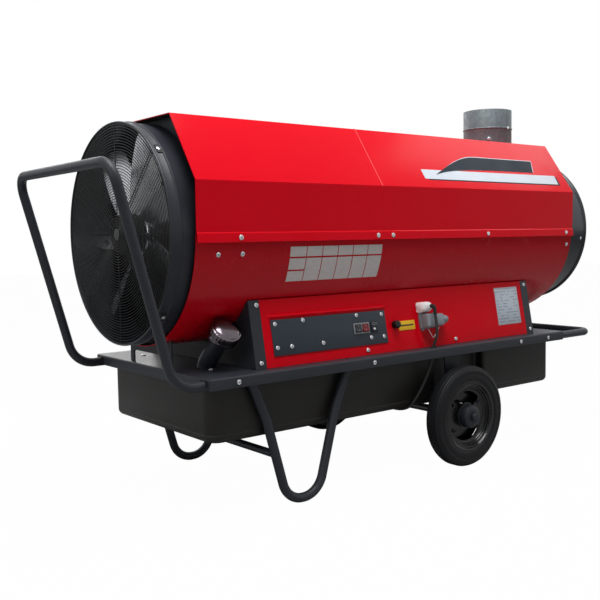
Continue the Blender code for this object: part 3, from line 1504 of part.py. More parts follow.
crossover = rod(
    "crossover_port",
    CROSSOVER_RADIUS,
    -CHAMBER_RADIUS * 1.15,
    -CHAMBER_RADIUS / 2,
    (CROSSOVER_X, 0, AXIS_HEIGHT),
    sides=20,
)
cut(chamber, crossover)

# Heat exchanger: a hollow jacket round the chamber, with feet on the drum and a collar up into the flue
JACKET_RADIUS = 0.1950
JACKET_BACK = -0.030
JACKET_SETBACK = 0.008
JACKET_WALL = 0.003
COLLAR_GAP = 0.0004
COLLAR_TOP = 0.900
COLLAR_WALL = 0.002
JACKET_FOOT_INSET = 0.090
JACKET_FOOT_RADIUS = 0.008
jacket_inner = CHAMBER_RADIUS + GAP
jacket_front = CASING_FRONT - JACKET_SETBACK
jacket = turned(
    "heat_exchanger",
    [
        (JACKET_RADIUS, jacket_front),
        (JACKET_RADIUS, JACKET_BACK),
        (jacket_inner, JACKET_BACK),
        (jacket_inner, jacket_front),
    ],
    (0, 0, AXIS_HEIGHT),
    AXIS_X,
    paint("exchanger_steel", (0.32, 0.31, 0.30), 0.5, 0.9),
    steps=24,
)
collar_radius = FLUE_RADIUS - FLUE_WALL - COLLAR_GAP
jacket_hollow = turned(
    "jacket_hollow",
    [
        (JACKET_RADIUS - JACKET_WALL, jacket_front - JACKET_WALL),
        (JACKET_RADIUS - JACKET_WALL, JACKET_BACK + JACKET_WALL),
        (jacket_inner + JACKET_WALL, JACKET_BACK + JACKET_WALL),
        (jacket_inner + JACKET_WALL, jacket_front - JACKET_WALL),
    ],
    (0, 0, AXIS_HEIGHT),
    AXIS_X,
    steps=24,
)
foot_end = DRUM_RADIUS - CASING_SHEET - GAP * 4
for end, x in (("back", JACKET_BACK + JACKET_FOOT_INSET), ("front", CROSSOVER_X)):
    for side, angle in (("near", -125), ("far", -55)):
        foot = rod(
            f"jacket_foot_{end}_{side}",
            JACKET_FOOT_RADIUS,
            JACKET_RADIUS - JACKET_WALL / 2,
            foot_end,
            (x, 0, AXIS_HEIGHT),
            (math.radians(angle - 90), 0, 0),
            sides=8,
        )
        join(jacket, foot)
collar_bore = rod(
    "collar_bore",
    collar_radius - COLLAR_WALL,
    JACKET_RADIUS * 0.82,
    COLLAR_TOP - AXIS_HEIGHT + OVERRUN,
    (FLUE_X, 0, AXIS_HEIGHT),
    sides=32,
)
cut(jacket, jacket_hollow, collar_bore, crossover)

# Exhaust collar: a tube that stands on the jacket round its bore, and ends inside the flue stub
collar = rod(
    "exhaust_collar",
    collar_radius,
    JACKET_RADIUS * 0.9,
    COLLAR_TOP - AXIS_HEIGHT,
    (FLUE_X, 0, AXIS_HEIGHT),
    material=paint("collar_steel", (0.32, 0.31, 0.30), 0.5, 0.9),
    sides=32,
)
collar_saddle = turned(
    "collar_saddle",
    [
        (0, jacket_front + OVERRUN),
        (JACKET_RADIUS + GAP, jacket_front + OVERRUN),
        (JACKET_RADIUS + GAP, CHAMBER_FRONT - CHAMBER_RADIUS),
        (0, CHAMBER_FRONT - CHAMBER_RADIUS),
    ],
    (0, 0, AXIS_HEIGHT),
    AXIS_X,
    steps=24,
)
cut(collar, collar_saddle, collar_bore)

# Burner: a round housing on the chamber's back wall, with its blast tube in the port
BURNER_RADIUS = 0.078
BURNER_LENGTH = 0.190
BURNER_ROUND = 0.010
BLAST_RADIUS = 0.046
BLAST_LENGTH = 0.085
BLAST_WALL = 0.003
burner_front = CHAMBER_BACK - GAP
burner = turned(
    "burner",
    [
        (0, burner_front + BLAST_LENGTH - BLAST_WALL * 2),
        (BLAST_RADIUS - BLAST_WALL, burner_front + BLAST_LENGTH - BLAST_WALL * 2),
        (BLAST_RADIUS - BLAST_WALL, burner_front + BLAST_LENGTH),
        (BLAST_RADIUS, burner_front + BLAST_LENGTH),
        (BLAST_RADIUS, burner_front),
        (BURNER_RADIUS, burner_front),
        (BURNER_RADIUS, burner_front - BURNER_LENGTH + BURNER_ROUND),
        (BURNER_RADIUS - BURNER_ROUND, burner_front - BURNER_LENGTH),
        (0, burner_front - BURNER_LENGTH),
    ],
    (0, 0, AXIS_HEIGHT),
    AXIS_X,
    paint("burner_red", (0.35, 0.02, 0.02), 0.4),
    steps=24,
)
fuel_top = AXIS_HEIGHT - math.sqrt(BURNER_RADIUS**2 - (FUEL_LINE_Y - FUEL_LINE_RADIUS) ** 2) - GAP * 2
rod(
    "fuel_line",
    FUEL_LINE_RADIUS,
    TANK_TOP - TANK_WALL,
    fuel_top,
    (FUEL_LINE_X, FUEL_LINE_Y, 0),
    material=paint("fuel_line_copper", (0.65, 0.32, 0.18), 0.35, 1.0),
    sides=12,
)

# Fan guard of round and radial wires, with lugs screwed to the ring
WIRE_RADIUS = 0.0014
GUARD_RINGS = 5
GUARD_INNER = 0.034
GUARD_BACK = 0.004
guard_x = INLET_FRONT + GUARD_BACK
guard_outer = INLET_RADIUS - RING_SHEET - GAP - WIRE_RADIUS
guard_axis = bpy.data.objects.new("guard_axis", None)
parts.objects.link(guard_axis)
guard_axis.location, guard_axis.rotation_euler = (guard_x, 0, AXIS_HEIGHT), INLET_AXIS


def wire_ring(name, radius, steps, material=None):
    square = [
        (radius + WIRE_RADIUS, WIRE_RADIUS),
        (radius + WIRE_RADIUS, -WIRE_RADIUS),
        (radius - WIRE_RADIUS, -WIRE_RADIUS),
        (radius - WIRE_RADIUS, WIRE_RADIUS),
    ]
    return turned(name, square, (0, 0, 0), material=material, parent=guard_axis, steps=steps)


guard = wire_ring("fan_guard", guard_outer, RING_STEPS, black_paint("guard_black"))
for k in range(GUARD_RINGS):
    join(guard, wire_ring(f"guard_ring_{k}", GUARD_INNER + (guard_outer - GUARD_INNER) * k / GUARD_RINGS, 20))
for k in range(4):
    angle = math.pi * k / 4
    join(
        guard,
        box(
            f"guard_radial_{k}",
            (-guard_outer - WIRE_RADIUS / 2, -WIRE_RADIUS, -WIRE_RADIUS * 2),
            (guard_outer + WIRE_RADIUS / 2, WIRE_RADIUS, WIRE_RADIUS * 0.5),
            parent=guard_axis,
            rotation=(0, 0, angle),
        ),
    )

# Fan motor on the guard's middle, and the impeller on its shaft
MOTOR_RADIUS = 0.046
MOTOR_LENGTH = 0.046
MOTOR_ROUND = 0.004
SHAFT_RADIUS = 0.006
SHAFT_LENGTH = 0.030
motor_back = WIRE_RADIUS * 2 + GAP
turned(
    "fan_motor",
    [
        (0, -motor_back),
        (MOTOR_RADIUS - MOTOR_ROUND, -motor_back),
        (MOTOR_RADIUS, -motor_back - MOTOR_ROUND),
        (MOTOR_RADIUS, -motor_back - MOTOR_LENGTH),
        (SHAFT_RADIUS, -motor_back - MOTOR_LENGTH),
        (SHAFT_RADIUS, -motor_back - MOTOR_LENGTH - SHAFT_LENGTH),
        (0, -motor_back - MOTOR_LENGTH - SHAFT_LENGTH),
    ],
    (0, 0, 0),
    material=paint("motor_black", (0.03, 0.03, 0.033), 0.4, 0.4),
    parent=guard_axis,
    steps=24,
)
HUB_DISC_RADIUS = 0.052
HUB_DISC_LENGTH = 0.024
FAN_BLADES = 7
BLADE_TIP_GAP = 0.006
BLADE_CHORD = 0.075
BLADE_SHEET = 0.002
blade_pitch = math.radians(32)
hub_front = -motor_back - MOTOR_LENGTH - GAP * 3
impeller = turned(
    "fan_impeller",
    [
        (HUB_DISC_RADIUS, hub_front),
        (HUB_DISC_RADIUS, hub_front - HUB_DISC_LENGTH),
        (SHAFT_RADIUS + GAP, hub_front - HUB_DISC_LENGTH),
        (SHAFT_RADIUS + GAP, hub_front),
    ],
    (0, 0, 0),
    material=paint("fan_aluminium", (0.75, 0.76, 0.78), 0.3, 1.0),
    parent=guard_axis,
    steps=24,
)
blade_tip = INLET_RADIUS - RING_SHEET - BLADE_TIP_GAP
blade_root = HUB_DISC_RADIUS * 0.93
for k in range(FAN_BLADES):
    blade_axis = bpy.data.objects.new(f"blade_axis_{k}", None)
    parts.objects.link(blade_axis)
    blade_axis.parent = guard_axis
    blade_axis.location = (0, 0, hub_front - HUB_DISC_LENGTH / 2)
    blade_axis.rotation_euler = (0, 0, TURN * k / FAN_BLADES)
    join(
        impeller,
        box(
            f"blade_{k}",
            (blade_root, -BLADE_CHORD / 2, -BLADE_SHEET / 2),
            (math.sqrt(blade_tip**2 - (BLADE_CHORD / 2) ** 2), BLADE_CHORD / 2, BLADE_SHEET / 2),
            parent=blade_axis,
            rotation=(blade_pitch, 0, 0),
        ),
    )

# Plain label field on the drum, rating plate on the panel, and the two bars on the hood's slope
LABEL_SHEET = 0.0004
LABEL_LEFT = -0.3825
LABEL_LENGTH = 0.2840
LABEL_TOP_ANGLE = 7.4
LABEL_LOW_ANGLE = 25.8
label_in = DRUM_RADIUS + GAP
label_points = arc(label_in + LABEL_SHEET, 180 + LABEL_TOP_ANGLE, 180 + LABEL_LOW_ANGLE, 6, AXIS_HEIGHT) + arc(
    label_in, 180 + LABEL_LOW_ANGLE, 180 + LABEL_TOP_ANGLE, 6, AXIS_HEIGHT
)
outline(
    "label_field",
    label_points,
    LABEL_LEFT,
    LABEL_LEFT + LABEL_LENGTH,
    ALONG_X,
    paint("label_silver", (0.45, 0.44, 0.43), 0.4, 0.3),
)
RATING_LEFT = 0.3770
RATING_LENGTH = 0.1030
RATING_LOW = 0.0340
RATING_HEIGHT = 0.1070
box(
    "rating_plate",
    (RATING_LEFT, RATING_LOW, GAP),
    (RATING_LEFT + RATING_LENGTH, RATING_LOW + RATING_HEIGHT, GAP + LABEL_SHEET),
    paint("rating_silver", (0.50, 0.52, 0.55), 0.4, 0.3),
    parent=near_face,
)
slope_face = bpy.data.objects.new("near_slope_face", None)
parts.objects.link(slope_face)
slope_rise = HOOD_ROOF_RISE - HOOD_SHOULDER_RISE
slope_run = HOOD_HALF_WIDTH - HOOD_ROOF_HALF_WIDTH
slope_face.location = (0, -HOOD_HALF_WIDTH, AXIS_HEIGHT + HOOD_SHOULDER_RISE)
slope_face.rotation_euler = (math.atan2(slope_rise, slope_run), 0, 0)
bar_shares = {"trim_bar_light": ((0.207, 0.946), (0.160, 0.345)), "trim_bar_dark": ((0.290, 0.883), (0.395, 0.793))}
bar_colours = {"trim_bar_light": (0.62, 0.64, 0.67), "trim_bar_dark": (0.045, 0.06, 0.08)}
slope_length = math.hypot(slope_rise, slope_run)
hood_length = CASING_FRONT - HOOD_SEAM
for name, ((left, right), (low, high)) in bar_shares.items():
    box(
        name,
        (HOOD_SEAM + hood_length * left, slope_length * low, GAP),
        (HOOD_SEAM + hood_length * right, slope_length * high, GAP + LABEL_SHEET),
        paint(f"{name}_film", bar_colours[name], 0.3),
        parent=slope_face,
    )
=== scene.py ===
import math

import bmesh
import bpy
import numpy as np
from mathutils import Matrix, Vector


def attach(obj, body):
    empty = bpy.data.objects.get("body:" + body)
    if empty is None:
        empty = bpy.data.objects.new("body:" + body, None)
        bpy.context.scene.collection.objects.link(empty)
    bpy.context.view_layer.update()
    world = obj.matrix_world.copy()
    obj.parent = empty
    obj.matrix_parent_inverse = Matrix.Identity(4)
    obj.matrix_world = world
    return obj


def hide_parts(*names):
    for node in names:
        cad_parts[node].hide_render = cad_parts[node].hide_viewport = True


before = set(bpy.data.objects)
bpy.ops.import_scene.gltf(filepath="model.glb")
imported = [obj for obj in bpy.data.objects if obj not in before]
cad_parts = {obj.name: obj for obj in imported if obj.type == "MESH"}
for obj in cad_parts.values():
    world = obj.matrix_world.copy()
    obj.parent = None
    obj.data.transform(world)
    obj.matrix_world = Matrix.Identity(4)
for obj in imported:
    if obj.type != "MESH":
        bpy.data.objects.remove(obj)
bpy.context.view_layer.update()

# Studio. The heater stands on a pale floor before a white surround, under one large soft lamp, with weaker
# ones off its two ends and its far side. The camera looks at it from the inlet end, at the height of the
# casing's middle.
bpy.context.scene.view_settings.view_transform = "Standard"


def put(name, data):
    """A new object in the scene that shows that data."""
    made = bpy.data.objects.new(name, data)
    bpy.context.scene.collection.objects.link(made)
    return made


def feed(made, sockets):
    """Gives a node's sockets, by name or number, their values, or a link where the value is another node's
    output."""
    for name, value in sockets.items():
        if isinstance(value, bpy.types.NodeSocket):
            made.id_data.links.new(value, made.inputs[name])
        else:
            made.inputs[name].default_value = value


def node(tree, kind, sockets, give=0, **properties):
    """The output called give of a new shader node of that kind, with its properties set and its sockets
    fed."""
    made = tree.nodes.new(f"ShaderNode{kind}")
    for name, value in properties.items():
        setattr(made, name, value)
    feed(made, sockets)
    return made.outputs[give]


def maths(tree, operation, first, second=0.5):
    """The output of a new Math node."""
    return node(tree, "Math", {0: first, 1: second}, operation=operation)


def shader_of(name):
    """A new material with its node tree and its Principled shader."""
    material = bpy.data.materials.new(name)
    material.use_nodes = True
    return material, material.node_tree, material.node_tree.nodes["Principled BSDF"]


camera_place, camera_lens, sensor_width = (-1.5339, -1.7474, 0.6134), 50.194, 36
yaw, pitch, roll = np.radians([38.241, -4.27, -0.953])
ahead = np.array([np.sin(yaw) * np.cos(pitch), np.cos(yaw) * np.cos(pitch), np.sin(pitch)])
level_right = np.array([np.cos(yaw), -np.sin(yaw), 0])
level_up = np.cross(level_right, ahead)
right = np.cos(roll) * level_right + np.sin(roll) * level_up
up = np.cos(roll) * level_up - np.sin(roll) * level_right
turned_to = Matrix(np.stack([right, up, -ahead], 1).tolist()).to_quaternion()
camera = put("camera", bpy.data.cameras.new("camera"))
camera.matrix_world = Matrix.LocRotScale(Vector(camera_place), turned_to, None)
camera.data.sensor_width, camera.data.lens = sensor_width, camera_lens
bpy.context.scene.camera = camera

WHITE = (1, 1, 1, 1)
surround_light = 0.13
world = bpy.data.worlds.new("surround")
bpy.context.scene.world = world
world.use_nodes = True
air = world.node_tree
camera_ray = node(air, "LightPath", {}, "Is Camera Ray")
paths = camera_ray.node.outputs
seen = maths(air, "MAXIMUM", camera_ray, paths["Is Glossy Ray"])
clear = maths(air, "MAXIMUM", seen, paths["Is Transmission Ray"])
strength = node(air, "MapRange", {"Value": clear, "To Min": surround_light, "To Max": 1.0})
feed(air.nodes["Background"], {"Color": WHITE, "Strength": strength})

floor_reach, floor_grey, floor_whitened = 14, (0.45, 0.45, 0.45, 1), 0.985
floor_paint, tree, shader = shader_of("pale_floor")
feed(shader, {"Base Color": floor_grey, "Roughness": 0.9, "Specular IOR Level": 0.1})
share = maths(tree, "MULTIPLY", node(tree, "LightPath", {}, "Is Camera Ray"), floor_whitened)
white = node(tree, "Emission", {"Color": WHITE, "Strength": 1.0})
shown = node(tree, "MixShader", {0: share, 1: shader.outputs[0], 2: white})
feed(tree.nodes["Material Output"], {"Surface": shown})
floor_mesh = bpy.data.meshes.new("floor")
floor_corners = [(x * floor_reach, y * floor_reach, 0) for x, y in ((-1, -1), (1, -1), (1, 1), (-1, 1))]
floor_mesh.from_pydata(floor_corners, [], [(0, 1, 2, 3)])
floor_mesh.materials.append(floor_paint)
put("floor", floor_mesh)

for name, place, aim, size, power in (
    ("overhead", (-0.4, -0.62, 3.4), (0, 0, 0.6), 2.0, 132),
    ("outlet_side", (2.65, -0.3, 2.7), (0.4, 0, 0.7), 1.0, 9),
    ("far_side", (0.4, 3.4, 1.8), (0, 0, 0.5), 1.8, 26),
    ("inlet_side", (-3.2, -0.6, 1.6), (-0.5, 0, 0.5), 1.4, 16),
):
    light = bpy.data.lights.new(name, "AREA")
    light.size, light.energy = size, power
    holder = put(name, light)
    holder.location = place
    holder.rotation_euler = (Vector(aim) - Vector(place)).to_track_quat("-Z", "Y").to_euler()


# Power cord: 7.2 mm black rubber lead. It leaves the boot of the white plug, drops over the platform's edge
# through a grommet, is tucked under the tank and over the axle, and lies coiled on the floor behind, with
# its plug beside it.
panel_foot_y, deck_z = -0.242, 0.3213
panel_lean = np.array([0.0289, 0.1535]) / np.hypot(0.0289, 0.1535)
X, Y, Z = np.eye(3)


def unit(vectors):
    """A vector, or each row of vectors, at length 1."""
    vectors = np.asarray(vectors, float)
    return vectors / np.linalg.norm(vectors, axis=-1, keepdims=True)


def on_panel(drawn, side=-1):
    """World points from places drawn on a side panel: along it, up its slope, and out from its face. The
    near panel is side -1, and the far one, side 1, is its mirror image."""
    along, up_slope, out = np.moveaxis(np.asarray(drawn, float), -1, 0)
    y = panel_foot_y + up_slope * panel_lean[0] - out * panel_lean[1]
    return np.stack([along, -side * y, deck_z + up_slope * panel_lean[1] + out * panel_lean[0]], -1)


def flowing(route, step):
    """A smooth line through a route's points: a Hermite curve whose slope at a point is along its
    neighbours' chord."""
    route = np.asarray(route, float)
    before = np.vstack([route[:1] * 2 - route[1:2], route[:-1]])
    after = np.vstack([route[1:], route[-1:] * 2 - route[-2:-1]])
    slope = unit(after - before)
    line = []
    for a, b, ta, tb in zip(route[:-1], route[1:], slope[:-1], slope[1:]):
        length = np.linalg.norm(b - a)
        count = max(2, round(length / step))
        t = (np.arange(count) / count)[:, None]
        starts = a * (2 * t**3 - 3 * t**2 + 1) + ta * length * (t**3 - 2 * t**2 + t)
        line.append(starts + b * (3 * t**2 - 2 * t**3) + tb * length * (t**3 - t**2))
    return np.vstack([*line, route[-1:]])


def tube(path, radius, sides=20):
    """A round section carried along a path. Each row of points is a circle in the plane across the path
    there; the circle's own direction is passed on from point to point, so it doesn't twist. radius may
    change on the way."""
    path = np.asarray(path, float)
    way = unit(np.gradient(path, axis=0))
    first = np.cross(way[0], (0.3, 0.9, 0.35))
    across = np.empty_like(path)
    for i, w in enumerate(way):
        first = unit(first - w * (first @ w))
        across[i] = first
    other = np.cross(way, across)
    turn = np.linspace(0, 2 * np.pi, sides, endpoint=False)[:, None]
    radius = np.broadcast_to(np.asarray(radius, float), len(path))[:, None, None]
    return path[:, None] + (across[:, None] * np.cos(turn) + other[:, None] * np.sin(turn)) * radius


def skin(grid, ends="flat"):
    """Points and faces of a surface on an (n, m, 3) grid that goes round in m. Its first and last rows are
    each shut with a "flat" face, or only the "last" one is, or both are left "open" or are "joined" to each
    other."""
    n, m = grid.shape[:2]
    index = np.arange(n * m).reshape(n, m)
    rows = np.vstack([index, index[:1]]) if ends == "joined" else index
    a, b = rows[:-1], rows[1:]
    quads = np.stack([a, np.roll(a, -1, 1), np.roll(b, -1, 1), b], -1).reshape(-1, 4)
    caps = [index[-1].tolist()] if ends in ("flat", "last") else []
    caps += [index[0][::-1].tolist()] if ends == "flat" else []
    return grid.reshape(-1, 3), quads.tolist() + caps


def together(*shapes):
    """Several shapes as one: their points in a row, and their faces counted on."""
    points, faces, count = [], [], 0
    for part_points, part_faces in shapes:
        points.append(np.asarray(part_points, float))
        faces += [[i + count for i in face] for face in part_faces]
        count += len(part_points)
    return np.vstack(points), faces


def solid(name, shape):
    """An object of that shape at the origin, its doubles welded and its faces turned outwards."""
    points, faces = shape
    mesh = bpy.data.meshes.new(name)
    mesh.from_pydata(np.asarray(points).tolist(), [], faces)
    work = bmesh.new()
    work.from_mesh(mesh)
    bmesh.ops.remove_doubles(work, verts=work.verts, dist=0.000002)
    bmesh.ops.dissolve_degenerate(work, edges=work.edges, dist=0.000001)
    bmesh.ops.recalc_face_normals(work, faces=work.faces)
    work.to_mesh(mesh)
    work.free()
    return put(name, mesh)


def piece(name, shape, material, replaces=(), body="heater", sharp=35, edge=0.0, cuts=()):
    """A piece of that shape, folds under the sharp angle shaded smooth. The shapes in cuts are taken out of
    it by Blender's exact boolean, and edge rounds its sharp edges with a Bevel modifier."""
    made = solid(name, shape)
    if cuts:
        tool = solid(f"{name}_tool", together(*cuts))
        cutting = made.modifiers.new("cut", "BOOLEAN")
        cutting.operation, cutting.solver, cutting.object = "DIFFERENCE", "EXACT", tool
        cutting.use_self = True
        bpy.context.view_layer.update()
        made.data = bpy.data.meshes.new_from_object(made.evaluated_get(bpy.context.evaluated_depsgraph_get()))
        made.modifiers.clear()
        bpy.data.objects.remove(tool)
    made.data.materials.clear()
    made.data.materials.append(material)
    made.data.shade_smooth()
    made.data.set_sharp_from_angle(angle=math.radians(sharp))
    if edge:
        rounding = made.modifiers.new("edges", "BEVEL")
        rounding.width, rounding.segments, rounding.limit_method = edge, 2, "ANGLE"
        rounding.angle_limit = math.radians(max(sharp, 40))
        rounding.harden_normals = True
    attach(made, body)
    if replaces:
        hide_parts(*([replaces] if isinstance(replaces, str) else replaces))
    return made


def tint(srgb):
    """A colour given in screen values of 0 to 255, in Blender's linear values."""
    return (*(v / 255 / 12.92 if v <= 10.3 else ((v / 255 + 0.055) / 1.055) ** 2.4 for v in srgb), 1)


def blend(tree, share, first, second, **properties):
    """The output of a colour mix: the first colour, and the second by that share."""
    return node(tree, "Mix", {0: share, 6: first, 7: second}, 2, data_type="RGBA", **properties)


def noise(tree, place, scale, detail, rough=0.5, give=0):
    """A noise of that scale, detail and roughness over a piece's own coordinates."""
    sockets = {"Vector": place, "Scale": scale, "Detail": detail, "Roughness": rough}
    return node(tree, "TexNoise", sockets, give)


def mottled(
    name, colour, other, rough, metallic=0.0, patch=9, grain=900, depth=0.05, spread=0.05, coat=0.0,
    shine=0.22,
):
    """A finish of two near colours in soft patches, with a fine grain in its height, and a roughness that
    wanders."""
    material, tree, shader = shader_of(name)
    place = node(tree, "TexCoord", {}, "Object")
    patches, fine = noise(tree, place, patch, 5.0, 0.6), noise(tree, place, grain, 3.0)
    least, most = max(rough - spread, 0.02), rough + spread
    between = {"From Min": 0.3, "From Max": 0.7, "To Min": least, "To Max": most}
    feed(
        shader,
        {
            "Base Color": blend(tree, patches, tint(colour), tint(other)),
            "Roughness": node(tree, "MapRange", {"Value": patches, **between}),
            "Normal": node(tree, "Bump", {"Strength": depth, "Distance": 0.0006, "Height": fine}),
            "Metallic": metallic,
            "Specular IOR Level": max(shine, metallic / 2),
            "Coat Weight": coat,
            "Coat Roughness": 0.08,
        },
    )
    return material


lead_dark, lead_pale = (38.68, 38.68, 39.77), (51.73, 50.91, 50.09)
rubber_lead = mottled("rubber_lead", lead_dark, lead_pale, 0.52, patch=30, grain=1400, depth=0.12)
cord_radius = 0.0036
coil_place, coil_radius, coil_turns = np.array([0.250, 0.475]), 0.047, 4.25
coil_pitch, coil_low = cord_radius * 2 + 0.0009, cord_radius + 0.0006


def coil_points(turn):
    """The coil: it winds in on the floor at a steady rate, climbs a layer in half a turn, and winds out on
    top."""
    climb = np.clip((turn - coil_turns / 2 + 0.25) / 0.5, 0, 1)
    radius = coil_radius - coil_pitch * np.minimum(turn, coil_turns - turn)
    angle = 2 * np.pi * turn
    lift = coil_low + coil_pitch * climb**2 * (3 - 2 * climb)
    x, y = coil_place[0] + radius * np.cos(angle), coil_place[1] + radius * np.sin(angle)
    return np.stack([x, y, lift], -1)


coil = coil_points(np.linspace(0, coil_turns, 205))
cord_exit = on_panel((0.083, 0.0807, 0.0371))
down = on_panel((0, -1, 0)) - on_panel((0, 0, 0))
drop = [
    cord_exit,
    cord_exit + down * 0.020,
    cord_exit + down * 0.040 + (-0.0015, 0, 0),
    (0.0795, -0.2695, 0.348),
    (0.078, -0.262, 0.327),
    (0.077, -0.261, 0.3125),
    (0.070, -0.260, 0.283),
    (0.048, -0.254, 0.230),
    (0.0245, -0.246, 0.190),
    (0.016, -0.233, 0.1705),
    (0.010, -0.208, 0.1609),
    (0.010, -0.165, 0.1594),
    (0.040, -0.105, 0.152),
    (0.096, -0.050, 0.1475),
    (0.168, 0.015, 0.1481),
    (0.225, 0.070, 0.141),
    (0.278, 0.140, 0.117),
    (0.316, 0.225, 0.079),
    (0.327, 0.305, 0.042),
    (0.320, 0.365, 0.0165),
    (0.306, 0.415, 0.0062),
    coil[0] - unit(coil[1] - coil[0]) * 0.025 + (0.0008, 0, 0.0002),
    coil[0],
]
tail = coil[-1] + unit(coil[-1] - coil[-2]) * 0.060 * np.array([[0.34], [0.67], [1.0]])
tail[:, 2] = coil[-1, 2] + (coil_low + 0.008 - coil[-1, 2]) * np.array([0.15, 0.6, 1.0])
cord_path = np.vstack([flowing(drop, 0.007), coil[1:], tail])
cord_shape = skin(tube(cord_path, cord_radius, 14))
power_cord = piece("power_cord", cord_shape, rubber_lead, ("cord_drop", "cord_coil"))


# Fuel tank: a blow-moulded black-brown plastic trough, hung under the platform by its rim. It is drawn in
# beside the wheels, and its moulding seam runs round near the bottom as a faint line.
def rounded(corners, radii, closed=False, steps=8):
    """A line through corners, each of them replaced by an arc of its radius. An arc's centre lies on the
    corner's bisector, radius / sin(half the corner's angle) away, and its points are evenly turned from
    start to end."""
    corners = np.asarray(corners, float)
    count = len(corners)
    line = []
    for i, radius in enumerate(np.broadcast_to(radii, count)):
        corner = corners[i]
        if radius <= 0 or (not closed and i in (0, count - 1)):
            line.append(corner[None])
            continue
        back, on = unit([corners[i - 1] - corner, corners[(i + 1) % count] - corner])
        half = np.arccos(np.clip(back @ on, -1, 1)) / 2
        centre = corner + unit(back + on) * radius / np.sin(half)
        start, end = (corner + leg * radius / np.tan(half) - centre for leg in (back, on))
        sweep = np.pi - 2 * half
        share = np.linspace(0, 1, steps + 1)[:, None]
        legs = np.sin((1 - share) * sweep) * start + np.sin(share * sweep) * end
        line.append(centre + legs / np.sin(sweep))
    return np.vstack(line)


def layered(corners, radii, rows, steps=8):
    """A closed outline of rounded corners carried through rows of (set in by, height). A corner that is set
    in moves by (n1 + n2) / (1 + n1.n2) times that, n1 and n2 being the inward normals of its two edges."""
    corners = np.asarray(corners, float)
    before, after = unit(corners - np.roll(corners, 1, 0)), unit(np.roll(corners, -1, 0) - corners)
    n1, n2 = (np.stack([-e[:, 1], e[:, 0]], 1) for e in (before, after))
    shift = (n1 + n2) / (1 + (n1 * n2).sum(1))[:, None]
    outward = np.sign(before[:, 0] * after[:, 1] - before[:, 1] * after[:, 0])
    grid = []
    for inset, height in rows:
        line = rounded(corners + shift * inset, np.maximum(radii - inset * outward, 0.0002), True, steps)
        grid.append(np.column_stack([line, np.full(len(line), height)]))
    return np.stack(grid)


tank_plastic = mottled("tank_plastic", (26, 25, 24), (33, 31, 29), 0.42, patch=5, grain=700, depth=0.10)
tank_side, tank_recess, tank_bottom = 0.235, 0.205, 0.168
tank_corners = [(-0.5907, -tank_side), (0.118, -tank_side), (0.118, -tank_recess)]
tank_corners += [(0.309, -tank_recess), (0.309, -tank_side), (0.6143, -tank_side)]
tank_corners += [(x, -y) for x, y in tank_corners[::-1]]
tank_radii = np.array([0.034, *[0.010] * 4, 0.020, 0.020, *[0.010] * 4, 0.034])
foot_turn = np.linspace(0, np.pi / 2, 7)
tank_rows = [(0.0153 * (1 - np.sin(t)), tank_bottom + 0.0153 * (1 - np.cos(t))) for t in foot_turn]
tank_rows += [(0.0, 0.1866), (0.0004, 0.1872), (0.0004, 0.1880), (0.0, 0.1886)]
tank_rows += [(0.0, 0.240), (0.0, 0.296), (0.0, 0.3175), (0.0007, 0.3182)]
tank = skin(layered(tank_corners, tank_radii, tank_rows))
piece("fuel_tank_moulding", tank, tank_plastic, "fuel_tank")


# Platform: a tray of 2.5 mm steel, its four sides folded down, powder-coated blue-black. Pan-head screws
# hold the tubes under it, and a rubber grommet lines the hole where the cord goes down.
def revolve(profile, place, axis, steps=72):
    """A profile of (radius, along) points turned about an axis: place + along*axis + radius*(u cos t + v
    sin t)."""
    axis = unit(axis)
    u = unit(np.cross(axis, (0.12, 0.31, 0.94) if abs(axis[2]) < 0.8 else (0.94, 0.12, 0.31)))
    v = np.cross(axis, u)
    turn = np.linspace(0, 2 * np.pi, steps, endpoint=False)[:, None]
    profile = np.asarray(profile, float)[:, :, None, None]
    outwards = u * np.cos(turn) + v * np.sin(turn)
    return np.asarray(place, float) + profile[:, 1] * axis + profile[:, 0] * outwards


def oblong(x0, y0, x1, y1):
    """The four corners of a rectangle, counter-clockwise."""
    return [(x0, y0), (x1, y0), (x1, y1), (x0, y1)]


def heads(places, normals, radius=0.0055, height=0.003):
    """Pan heads with a crossed recess. Each is a field of heights over its disc: a shallow dome, less the
    cross where either coordinate across it is small; its last row drops to the surface it is driven
    into."""
    share = np.array([0, 0.1, 0.2, 0.32, 0.45, 0.58, 0.66, 0.8, 0.9, 0.97, 1.0, 1.0])[:, None]
    turn = np.linspace(0, 2 * np.pi, 24, endpoint=False)
    u, v = share * np.cos(turn), share * np.sin(turn)
    rise = 0.5 + 0.5 * np.sqrt(np.maximum(1 - share**2 * 0.98, 0))
    rise = rise - 0.5 * ((np.minimum(abs(u), abs(v)) < 0.11) & (share < 0.6))
    rise[-1] = 0
    field = np.stack([u * radius, v * radius, rise * height], -1)
    shapes = []
    for place, normal in zip(places, unit(np.broadcast_to(normals, (len(places), 3)))):
        a = unit(np.cross(normal, (0.4, 0.5, 0.77)))
        shapes.append(skin(place + field @ np.array([a, np.cross(normal, a), normal]), "last"))
    return together(*shapes)


